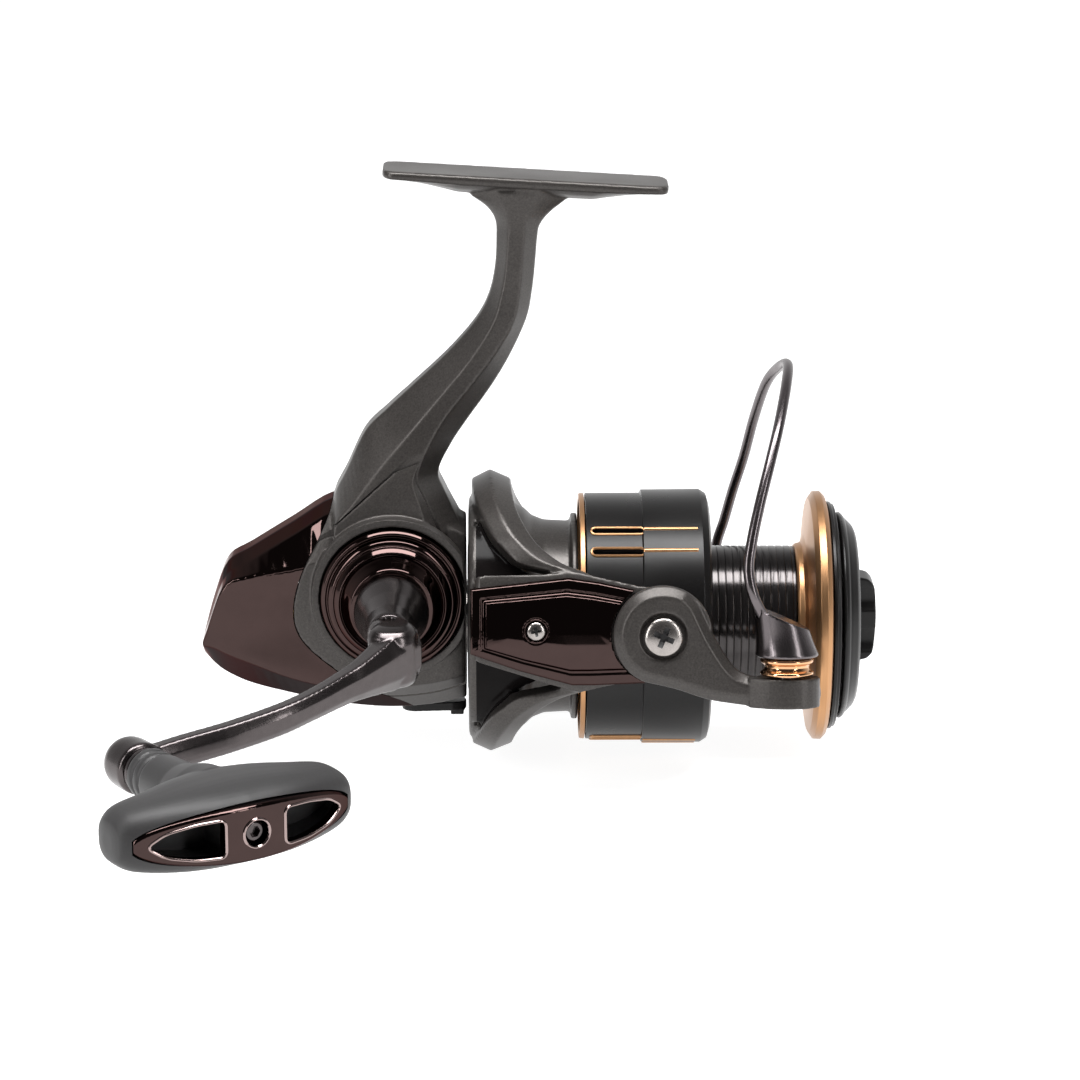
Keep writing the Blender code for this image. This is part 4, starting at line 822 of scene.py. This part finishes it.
start = math.atan2(TAIL_BOTTOM[-1][1], TAIL_BOTTOM[-1][0] - PIVOT_X) + math.tau
end = math.atan2(TAIL_TOP[0][1], TAIL_TOP[0][0] - PIVOT_X)
disc_arc = circle(PIVOT_X, 0, DISC_R, 40, start, end - start)
tail = curve_through(TAIL_TOP + TAIL_END + TAIL_BOTTOM, 5)
arm_outline = disc_arc[1:-1] + tail
levels = [(35.1, 0.5), (35.5, 0.0), (36.4, 0.0), (38.1, 1.9), (38.2, 2.2)]
arm_rings = [[(x, -h, z) for x, z in inset(arm_outline, d)] for h, d in levels]
bail_arm = form(loft(arm_rings), IN_ROTOR)
near_disc = [(-36.5, 0), (-36.5, DISC_R - 0.1), (-33.4, DISC_R - 0.1), (-33.4, 0)]
fuse(bail_arm, form(turned(near_disc, "Y", 96, PIVOT_AT, 0.2), IN_ROTOR))
fuse(bail_arm, form(prism(curve_through(TIP + TIP[:1], 3)[:-1], -14.9, -8.75, "XY"), IN_ROTOR))
recess = [(-60, 0), (-60, 8.0), (-38.5, 5.5), (-37.9, 4.8), (-37.4, 4.7), (-37.4, 0)]
cut(bail_arm, form(turned(recess, "Y", 64, PIVOT_AT, corner=0), IN_ROTOR))
cut(bail_arm, bored(-60, -20, PIVOT_HOLE_R, PIVOT_AT, IN_ROTOR))
cut(bail_arm, bored(-30, 0, ROLLER_HOLE_R, place=IN_ROLLER, axis="Z"))
cut(bail_arm, bored(-30, -13.4, 3.6, place=IN_ROLLER, axis="Z"))
cast(bail_arm, 0.26, 5)
piece("bail_lever_near", bail_arm, "bail", "gunmetal", replaces=["bail_arm_near"])

far_hull = circle(PIVOT_X, 0, 8.0, 24, math.radians(129), math.radians(180))
far_hull += circle(*FAR_LOBE, 3.2, 14, math.radians(-51), math.radians(180))
far_rings = [[(x, h, z) for x, z in inset(spaced(far_hull, 1.2), d)] for h, d in
             ((33.9, 0.3), (34.2, 0.0), (37.0, 0.0), (38.0, 1.0), (38.15, 1.6))]
bail_far = form(loft(far_rings), IN_ROTOR)
far_disc = turned([(33.4, 0), (33.4, 7.9), (36.5, 7.9), (36.5, 0)], "Y", 72, PIVOT_AT, 0.2)
fuse(bail_far, form(far_disc, IN_ROTOR))
cut(bail_far, bored(20, 60, PIVOT_HOLE_R, PIVOT_AT, IN_ROTOR))
cut(bail_far, form(tube(WIRE[-3:] + [(FAR_LOBE[0], 36.2, FAR_LOBE[1])], WIRE_R + GAP), IN_ROTOR))
cast(bail_far, 0.26, 5)
piece("bail_lever_far", bail_far, "bail", "gunmetal", replaces=["bail_arm_far"])

wire = form(tube(curve_through(WIRE, 8), WIRE_R), IN_ROTOR)
piece("bail_bow", wire, "bail", "dark_steel", TITANIUM, replaces=["bail_wire"])

# Roller cover stations up Z: height, centre X, centre Y, radius
CONE = [
    (-4.35, 53.9, -36.0, 6.3), (-3.9, 53.9, -36.0, 6.6), (-2.4, 53.7, -36.0, 6.2), (0.0, 53.2, -36.1, 5.8),
    (3.0, 52.6, -36.3, 5.5), (7.5, 51.8, -36.6, 5.2),
]
SLANT = [(44.0, 7.6), (60.5, 0.4), (66.0, 12.0), (44.0, 12.0)]  # cut off the roller cover's top
cone_rings = [[(x, y, z) for x, y in circle(cx, cy, r, 48)] for z, cx, cy, r in curve_through(CONE, 4)]
cone = form(loft(cone_rings), IN_ROTOR)
cut(cone, form(prism(SLANT, -50.0, -20.0), IN_ROTOR))
cut(cone, form(tube([(50.1, -37.1, 1.8), WIRE[0], WIRE[1]], WIRE_R + GAP), IN_ROTOR))
cut(cone, bored(-30, -0.9, ROLLER_HOLE_R, place=IN_ROLLER, axis="Z"))
cast(cone, 0.2, 3)
piece("roller_cap", cone, "bail", "gunmetal", TITANIUM, replaces=["roller_cover"])

ROLLER = [
    (-8.3, 2.3), (-8.3, 5.3), (-7.9, 5.6), (-7.5, 5.5), (-7.1, 4.9), (-6.5, 4.6), (-5.9, 4.9), (-5.5, 5.5),
    (-5.1, 5.6), (-4.7, 5.3), (-4.7, 2.3),
]
roller = form(turned(ROLLER, "Z", 72, corner=0.12), IN_ROLLER)
piece("roller_wheel", roller, "roller", "gold", ROLLER_GOLD, replaces=["line_roller"])
ROLLER_SCREW = [(-14.9, 0), (-14.9, 3.0), (-14.5, 3.3), (-13.9, 3.3), (-13.9, 2.0), (-1.2, 2.0), (-1.2, 0)]
screw = form(turned(ROLLER_SCREW, "Z", 48, corner=0.1), IN_ROLLER)
for tool in cross_recess(2.0, -14.1, -15.1, "Z"):
    cut(screw, form(tool, IN_ROLLER))
piece("roller_bolt", screw, "bail", "steel", replaces=["roller_screw"])

# --- Spool and drag

ARBOR_R = 15.1
RING_PITCH = 1.6
arbor = []
for k in range(11):
    x = 39.5 + RING_PITCH * k
    arbor += [(x, ARBOR_R), (x + 1.35, ARBOR_R), (x + 1.42, ARBOR_R - 0.16), (x + 1.53, ARBOR_R - 0.16)]
SPOOL = (
    [(12.7, 25.2), (12.7, 26.6), (24.5, 26.6), (24.7, 27.3), (37.3, 27.4), (38.7, 26.5), (39.2, 24.8)]
    + [(39.2, ARBOR_R)] + arbor
    + [(57.5, ARBOR_R), (57.5, 13.4), (62.0, 13.4), (62.0, 12.4), (46.0, 12.4), (46.0, 2.6), (36.5, 2.6),
       (36.5, 23.5), (36.0, 25.2)]
)
SLOT_PAIRS = 3
SLOT_ANGLES = (46.9, 58.9)  # from the near side towards the foot, within the first pair
SLOT_X = (13.8, 24.9)
SLOT_WIDTH = 1.7


def slot_turns():
    for pair in range(SLOT_PAIRS):
        for degrees in SLOT_ANGLES:
            yield Matrix.Rotation(-math.radians(degrees + 360 * pair / SLOT_PAIRS), 4, "X")


def slot_path(grow=0.0):
    r = SLOT_WIDTH / 2 + grow
    low, high = SLOT_X[0] + SLOT_WIDTH / 2, SLOT_X[1] - SLOT_WIDTH / 2
    return circle(high, 0, r, 8, -math.pi / 2, math.pi) + circle(low, 0, r, 8, math.pi / 2, math.pi)


def joined(parts):
    """One mesh from several, each with its own turn."""
    out = bmesh.new()
    for bm, turn in parts:
        mesh = meshed(bm, turn)
        out.from_mesh(mesh)
        bpy.data.meshes.remove(mesh)
    return out


def closed_tube(path, radius, sides=10):
    """A ring of wire along a closed path."""
    points = [Vector(p) for p in path]
    count = len(points)
    rings = []
    for i, point in enumerate(points):
        along = (points[(i + 1) % count] - points[i - 1]).normalized()
        out = Vector((0, -1, 0))
        rings.append(hoop(point, out, along.cross(out), radius, sides))
    return loft(rings, closed=True)


spool = form(turned(SPOOL, steps=160, corner=0.12), IN_REEL)
slots = joined([(prism(slot_path(), -30.0, -24.0), turn) for turn in slot_turns()])
cut(spool, form(slots, IN_REEL))
to_reel = IN_REEL.inverted()


def on_arbor(middle):
    local = to_reel @ middle / MM
    return 39.1 < local.x < 57.6 and 12.9 < math.hypot(local.y, local.z) < ARBOR_R + 0.3


piece("spool_body", spool, "spool_group", "satin_black", ANODISED, ARBOR, replaces=["spool"],
      second=on_arbor)
rim_path = [(x, -26.6, z) for x, z in slot_path(0.1)]
rims = joined([(closed_tube(rim_path, 0.3), turn) for turn in slot_turns()])
piece("slot_rims", form(rims, IN_REEL), "spool_group", "gold")
LINE_PATH = [(24.9, -26.95, 0), (25.2, -26.98, 0), (36.2, -27.0, 0)]
lines = joined([(tube(LINE_PATH, 0.6, 12), turn) for turn in slot_turns()])
piece("skirt_lines", form(lines, IN_REEL), "spool_group", "gold")
BAND = [(11.3, 25.4), (11.3, 26.5), (12.4, 26.6), (12.4, 25.4)]
band = form(turned(BAND, steps=144, corner=0.2), IN_REEL)
piece("skirt_band", band, "spool_group", "gold", replaces=["spool_band"])
LIP = [
    (57.8, 13.7), (57.8, 15.2), (58.3, 15.6), (59.3, 15.8), (59.9, 17.4), (60.5, 22.0), (60.9, 25.3),
    (61.9, 26.8), (63.4, 26.9), (64.3, 26.0), (64.6, 24.9), (64.6, 13.7),
]
flange = form(turned(LIP, steps=160, corner=0.12), IN_REEL)
piece("spool_flange", flange, "spool_group", "gold", replaces=["spool_lip"])
SEAL = [(64.9, 14.0), (64.9, 24.6), (65.6, 24.6), (65.7, 24.2), (66.3, 24.1), (66.6, 22.6), (66.6, 14.0)]
seal = form(turned(SEAL, steps=144, corner=0.15), IN_REEL)
piece("drag_seal", seal, "spool_group", "satin_black", replaces=["drag_seal_plate"])

DIAL = [
    (52.6, 2.6), (52.6, 6.0), (67.0, 6.0), (67.0, 22.1), (67.6, 22.4), (68.4, 21.7), (68.6, 21.1),
    (68.9, 21.0), (70.3, 19.6), (70.9, 18.4), (70.9, 0), (70.0, 0), (70.0, 2.6),
]
WING = [
    (70.4, -9.4), (72.4, -9.2), (74.0, -8.6), (75.2, -6.4), (75.5, 0.0), (75.2, 6.4), (74.0, 8.6),
    (72.4, 9.2), (70.4, 9.4),
]
dial = form(turned(DIAL, steps=144, corner=0.15), IN_REEL)
wing = form(prism(curve_through(WING, 4), -3.5, 3.5), IN_REEL)
for up in (-1, 1):
    for y in (-1, 1):
        cut(wing, bored(70.9, 80.0, 4.4, (0, y * 6.9, up * 4.6), axis="X"))
fuse(dial, wing)
cast(dial, 0.24, 3)
piece("drag_dial_knob", dial, "drag_dial", "satin_black", replaces=["drag_knob"])

# --- Handle

TAB_Z = 2.3
PIN_HOLE_R = 1.35
SLOT_Z = TAB_Z + 0.35
HINGE_AT = (0, -HINGE_H, 0)
HANDLE_CONE = [
    (-25.6, 3.8), (-25.6, 7.7), (-26.3, 7.9), (-27.5, 7.9), (-29.0, 7.6), (-31.0, 7.0), (-33.0, 6.4),
    (-38.0, 5.2), (-42.0, 4.7), (-43.2, 4.3), (-43.2, 0), (-41.0, 0), (-41.0, 3.8),
]
tab = [(3.2, -42.7), (-3.2, -42.7)] + circle(0, -HINGE_H, 3.2, 24, math.pi, math.pi)
crank_cone = form(turned(HANDLE_CONE, "Y", 120, corner=0.3), IN_DRIVE)
fuse(crank_cone, form(prism(tab, -TAB_Z, TAB_Z, "XY"), IN_DRIVE))
cut(crank_cone, bored(-20, 20, PIN_HOLE_R, HINGE_AT, IN_DRIVE, "Z"))
piece("crank_cone", crank_cone, "drive", "dark_steel", replaces=["handle_cone"])
pin = form(turned([(-4.7, 0), (-4.7, 1.1), (4.7, 1.1), (4.7, 0)], "Z", 32, corner=0.15), IN_FOLD)
piece("hinge_pin", pin, "crank", "steel", replaces=["fold_pin"])

# Arm stations: centre, half thickness along Y, half height
HANDLE = [
    (3.0, -4.9, -0.6, 3.2, 5.0), (-3.3, -5.6, -1.4, 4.4, 5.6), (-6.5, -7.0, -1.7, 4.1, 5.0),
    (-12.9, -9.6, -2.4, 3.2, 3.8), (-17.0, -10.7, -3.0, 2.8, 3.3), (-25.8, -12.9, -4.4, 2.5, 2.9),
    (-34.4, -13.8, -5.9, 2.5, 2.9), (-45.0, -12.6, -7.8, 2.5, 2.9), (-55.0, -10.6, -9.5, 2.45, 3.0),
    (-64.0, -9.9, -11.0, 2.4, 3.2),
]
ARM_SECTION = [
    (-1, -0.45), (-0.55, -1), (0.55, -1), (1, -0.45), (1, 0.45), (0.55, 1), (-0.55, 1), (-1, 0.45),
]
BOSS_X, BOSS_Z = -64.0, -11.0
BOSS = [
    (-2.7, 0), (-2.8, 1.4), (-3.2, 2.7), (-3.9, 3.9), (-4.8, 4.7), (-6.2, 5.2), (-8.0, 5.3), (-11.8, 5.3),
    (-12.5, 4.8), (-12.5, 0),
]
BOSS_AT = (BOSS_X, 0, BOSS_Z)
crank_rings = [[(x, y + thick * a, z + tall * b) for a, b in ARM_SECTION]
               for x, y, z, thick, tall in curve_through(HANDLE, 6)]
crank = form(loft(crank_rings), IN_FOLD)
# The hub: stations up Z, each an outline round the hinge and the arm's root
ears = [(-4.5, 0), (-7.3, -3.0)] + circle(-1.8, -3.6, 5.8, 24, math.radians(190), math.radians(160))
ears += [(4.1, -3.0), (4.5, 0)] + circle(0, 0, 4.5, 20, math.radians(10), math.radians(160))
HUB_LEVELS = [
    (0.5, -7.5), (0.76, -6.9), (0.92, -5.7), (1.0, -3.8), (1.0, 2.4), (0.93, 4.0), (0.8, 5.0), (0.55, 5.6),
]
hub_rings = []
for share, height in HUB_LEVELS:
    hub_rings.append([(x * share, -2.2 + (y + 2.2) * share, height) for x, y in spaced(ears, 0.8)])
fuse(crank, form(loft(hub_rings), IN_FOLD))
fuse(crank, form(turned(BOSS, "Y", 72, BOSS_AT, 0.5), IN_FOLD))
cut(crank, form(box((-20.0, -3.55, -SLOT_Z), (20.0, 20.0, SLOT_Z)), IN_FOLD))
cut(crank, bored(-20, 20, PIN_HOLE_R, place=IN_FOLD, axis="Z"))
cut(crank, bored(-40, -5.0, 2.3, BOSS_AT, IN_FOLD))
cast(crank, 0.27, 10)
piece("crank_arm", crank, "crank", "dark_steel", replaces=["handle_arm"])
collar = form(turned([(-6.0, 2.3), (-6.0, 4.6), (-4.9, 4.6), (-4.9, 2.3)], "Y", 72, corner=0.2), IN_KNOB)
piece("boss_collar", collar, "crank", "steel", DARK_STEEL, replaces=["knob_collar"])

# Knob stations along X: place, back, front, half height
KNOB_BAR = [
    (25.2, 34.6, 38.2, 1.8), (25.0, 33.1, 39.8, 3.2), (24.4, 31.6, 41.2, 4.3), (21.6, 29.8, 43.0, 6.0),
    (15.0, 28.5, 45.4, 7.2), (8.0, 26.0, 47.0, 7.9), (0.0, 24.0, 47.6, 8.1),
]
KNOB_NECK = [
    (-6.3, 0), (-6.3, 4.7), (-6.9, 5.1), (-8.3, 5.1), (-8.5, 4.65), (-9.0, 4.65), (-9.2, 5.15),
    (-10.8, 5.15), (-11.0, 4.7), (-11.5, 4.7), (-11.7, 5.2), (-20.0, 5.7), (-26.0, 7.4), (-31.0, 8.0),
    (-31.0, 0),
]


def knob_bar():
    half = curve_through(KNOB_BAR, 4)
    rings = []
    for x, back, front, tall in [(-row[0], *row[1:]) for row in half[:-1]] + half[::-1]:
        middle, reach = (back + front) / 2, (front - back) / 2
        ring = []
        for k in range(48):
            angle = math.tau * (k + 0.5) / 48
            c, s = math.cos(angle), math.sin(angle)
            ring.append((x, -middle - reach * math.copysign(abs(c) ** 0.75, c),
                         tall * math.copysign(abs(s) ** 0.75, s)))
        rings.append(ring)
    return loft(rings)


PLATE_HALF = 23.0  # half the length of the plate in the knob
PLATE_HIGH = 5.3  # half its height
PLATE_FRONT, PLATE_BEND = 47.75, 0.010  # where its middle stands, and how its ends fall back


def plate_front(x):
    return PLATE_FRONT - PLATE_BEND * x * x


def inlay_form(grow, top):
    """The lens-shaped plate let into the knob's front; it follows the front's curve."""
    rings = []
    count = 40
    for k in range(count + 1):
        x = -PLATE_HALF * math.cos(math.pi * k / count)
        wide = PLATE_HIGH * math.sqrt(max(1 - (x / (PLATE_HALF + 0.4)) ** 2, 0)) + 0.15 + grow
        front = plate_front(x)
        place = x * (1 + grow / PLATE_HALF)
        rings.append([
            (place, -front + 2.3 + grow, -wide), (place, -front + 0.5 - top, -wide),
            (place, -front - top, -wide + 0.45), (place, -front - top, wide - 0.45),
            (place, -front + 0.5 - top, wide), (place, -front + 2.3 + grow, wide),
        ])
    return loft(rings)


WINDOW = [(6.3, -3.7), (12.0, -3.5), (17.5, -2.4), (21.0, 0.0), (17.5, 2.4), (12.0, 3.5), (6.3, 3.7)]
WINDOW_CORNER = 1.5
WELL_FLOOR = 38.5  # how far out the wells behind the windows begin


def window(side, low, grow):
    points = []
    for x, z in rounded(WINDOW, WINDOW_CORNER, 6):
        wider = grow * (0.5 if x > 7 else -1)
        points.append((side * (x + wider), z * (1 + grow * 0.15)))
    return form(prism(points, -60.0, -low), IN_KNOB)


knob = form(knob_bar(), IN_KNOB)
fuse(knob, form(turned(KNOB_NECK, "Y", 96, corner=0.12), IN_KNOB))
cast(knob, 0.27, 6)
cut(knob, form(inlay_form(GAP * 0.6, 8.0), IN_KNOB))
cut(knob, window(-1, WELL_FLOOR, 0.4), window(1, WELL_FLOOR, 0.4))
cut(knob, bored(-60, 0, 2.5, place=IN_KNOB), bored(-15.3, 0, 4.3, place=IN_KNOB))
cut(knob, bored(-60, -29.7, 4.3, place=IN_KNOB))
to_knob = IN_KNOB.inverted()


# the faces of the wells behind the windows take the flat black that serves as painted shade in the screw
# recesses; here it is close to the grip's own tone
def in_well(middle):
    local = to_knob @ middle / MM
    inside = 6.0 < abs(local.x) < 20.0 and abs(local.z) < 4.0
    return inside and WELL_FLOOR - 0.3 < -local.y < 44.6 - 0.009 * local.x**2


piece("knob_grip", knob, "grip", "soft_grip", SOFT_GRIP, RECESS_SHADE, replaces=["knob"], second=in_well)
inlay = cast(form(inlay_form(0.0, 0.0), IN_KNOB), 0.16, 3)
cut(inlay, window(-1, 30.0, 0.0), window(1, 30.0, 0.0), bored(-60, 0, 2.8, place=IN_KNOB))
piece("knob_plate", inlay, "grip", "black_chrome", replaces=["knob_inlay"])


def plate_path(points):
    """The outline lifted on to the plate's curved front."""
    return [(x, -plate_front(x), z) for x, z in points]


rim_outlines = [[(side * x, z) for x, z in rounded(WINDOW, WINDOW_CORNER, 6)] for side in (-1, 1)]
rim_outlines.append(circle(0, 0, 2.75, 40))
plate_rims = joined([(closed_tube(plate_path(outline), 0.3), Matrix()) for outline in rim_outlines])
piece("plate_rims", form(plate_rims, IN_KNOB), "grip", "black_chrome", BRIGHT_RIM)
head = [(-46.9, 0), (-46.9, 1.7), (-46.4, 2.3), (-44.4, 2.4), (-44.4, 0)]
knob_bolt = form(turned(head, "Y", 48, corner=0.15), IN_KNOB)
cut(knob_bolt, form(prism(circle(0, 0, 1.2, 6), -50.0, -45.8), IN_KNOB))
piece("knob_bolt", knob_bolt, "crank", "steel", DARK_STEEL, replaces=["knob_screw"])

# --- Floor, light and camera

FLOOR_DROP = 0.0015
FLOOR_HALF = 3.0
FLOOR_TONE, FLOOR_GLOW = 0.38, 0.9
SKY_AXIS = (0, 0.75, -0.66)  # bright behind the reel, dark above and in front
SKY_STOPS = [(0.30, (0.06, 0.058, 0.058, 1)), (0.75, (0.9, 0.9, 0.9, 1))]
# Softboxes: name, place, width and height, power
SOFTBOXES = [
    ("top_softbox", (0.0, -0.12, 0.75), (0.9, 0.3), 15.0),
    ("left_softbox", (-0.8, -0.55, 0.25), (0.14, 0.8), 4.0),
    ("right_softbox", (0.75, -0.65, 0.3), (0.12, 0.8), 3.0),
]
LIGHTS_AIM = (0.0, -0.02, SPOOL_Z)
CAMERA_AIM = (0.003, 0.0, SPOOL_Z + 0.017)
CAMERA_DISTANCE = 0.8614
CAMERA_HEIGHT = math.radians(15.7)
CAMERA_TURN = math.radians(-0.64)
CAMERA_LENS, CAMERA_SENSOR = 133.33, 36.0


def soft_light(name, place, size, power):
    data = bpy.data.lights.new(name, "AREA")
    data.shape = "RECTANGLE"
    data.size, data.size_y = size
    data.energy = power
    made = placed(name, data)
    made.location = place
    made.rotation_euler = (Vector(LIGHTS_AIM) - Vector(place)).to_track_quat("-Z", "Y").to_euler()


def pale_floor():
    pale = bpy.data.materials.new("pale_floor")
    pale.use_nodes = True
    set_inputs(pale.node_tree.nodes["Principled BSDF"], {
        "Base Color": (FLOOR_TONE, FLOOR_TONE, FLOOR_TONE, 1), "Roughness": 0.9,
        "Emission Color": (1, 1, 1, 1), "Emission Strength": FLOOR_GLOW,
    })
    height = min(corner[2] for corner in cad_box) - FLOOR_DROP
    corners = [(-1, -1), (1, -1), (1, 1), (-1, 1)]
    mesh = bpy.data.meshes.new("floor")
    mesh.from_pydata([(x * FLOOR_HALF, y * FLOOR_HALF, height) for x, y in corners], [], [(0, 1, 2, 3)])
    mesh.materials.append(pale)
    placed("floor", mesh)


def studio_sky():
    world = bpy.data.worlds.new("studio")
    bpy.context.scene.world = world
    world.use_nodes = True
    sky = world.node_tree
    direction = node(sky, "ShaderNodeTexCoord")
    facing = node(sky, "ShaderNodeVectorMath", operation="DOT_PRODUCT")
    facing.inputs[1].default_value = SKY_AXIS
    spread = node(sky, "ShaderNodeMapRange")
    spread.inputs["From Min"].default_value = -1.0
    shade = node(sky, "ShaderNodeValToRGB")
    for stop, (position, colour) in zip(shade.color_ramp.elements, SKY_STOPS):
        stop.position, stop.color = position, colour
    background = sky.nodes["Background"].inputs
    background["Strength"].default_value = 1.0
    sky.links.new(direction.outputs["Generated"], facing.inputs[0])
    sky.links.new(facing.outputs["Value"], spread.inputs["Value"])
    sky.links.new(spread.outputs["Result"], shade.inputs["Fac"])
    sky.links.new(shade.outputs["Color"], background["Color"])


def front_camera():
    data = bpy.data.cameras.new("camera")
    data.sensor_width = CAMERA_SENSOR
    data.lens = CAMERA_LENS
    level = math.cos(CAMERA_HEIGHT)
    back = Vector((math.sin(CAMERA_TURN) * level, -math.cos(CAMERA_TURN) * level, math.sin(CAMERA_HEIGHT)))
    camera = placed("camera", data)
    camera.location = Vector(CAMERA_AIM) + back * CAMERA_DISTANCE
    camera.rotation_euler = back.to_track_quat("Z", "Y").to_euler()
    bpy.context.scene.camera = camera


pale_floor()
studio_sky()
for softbox in SOFTBOXES:
    soft_light(*softbox)
front_camera()
bpy.context.scene.view_settings.view_transform = "Standard"

bpy.context.view_layer.update()
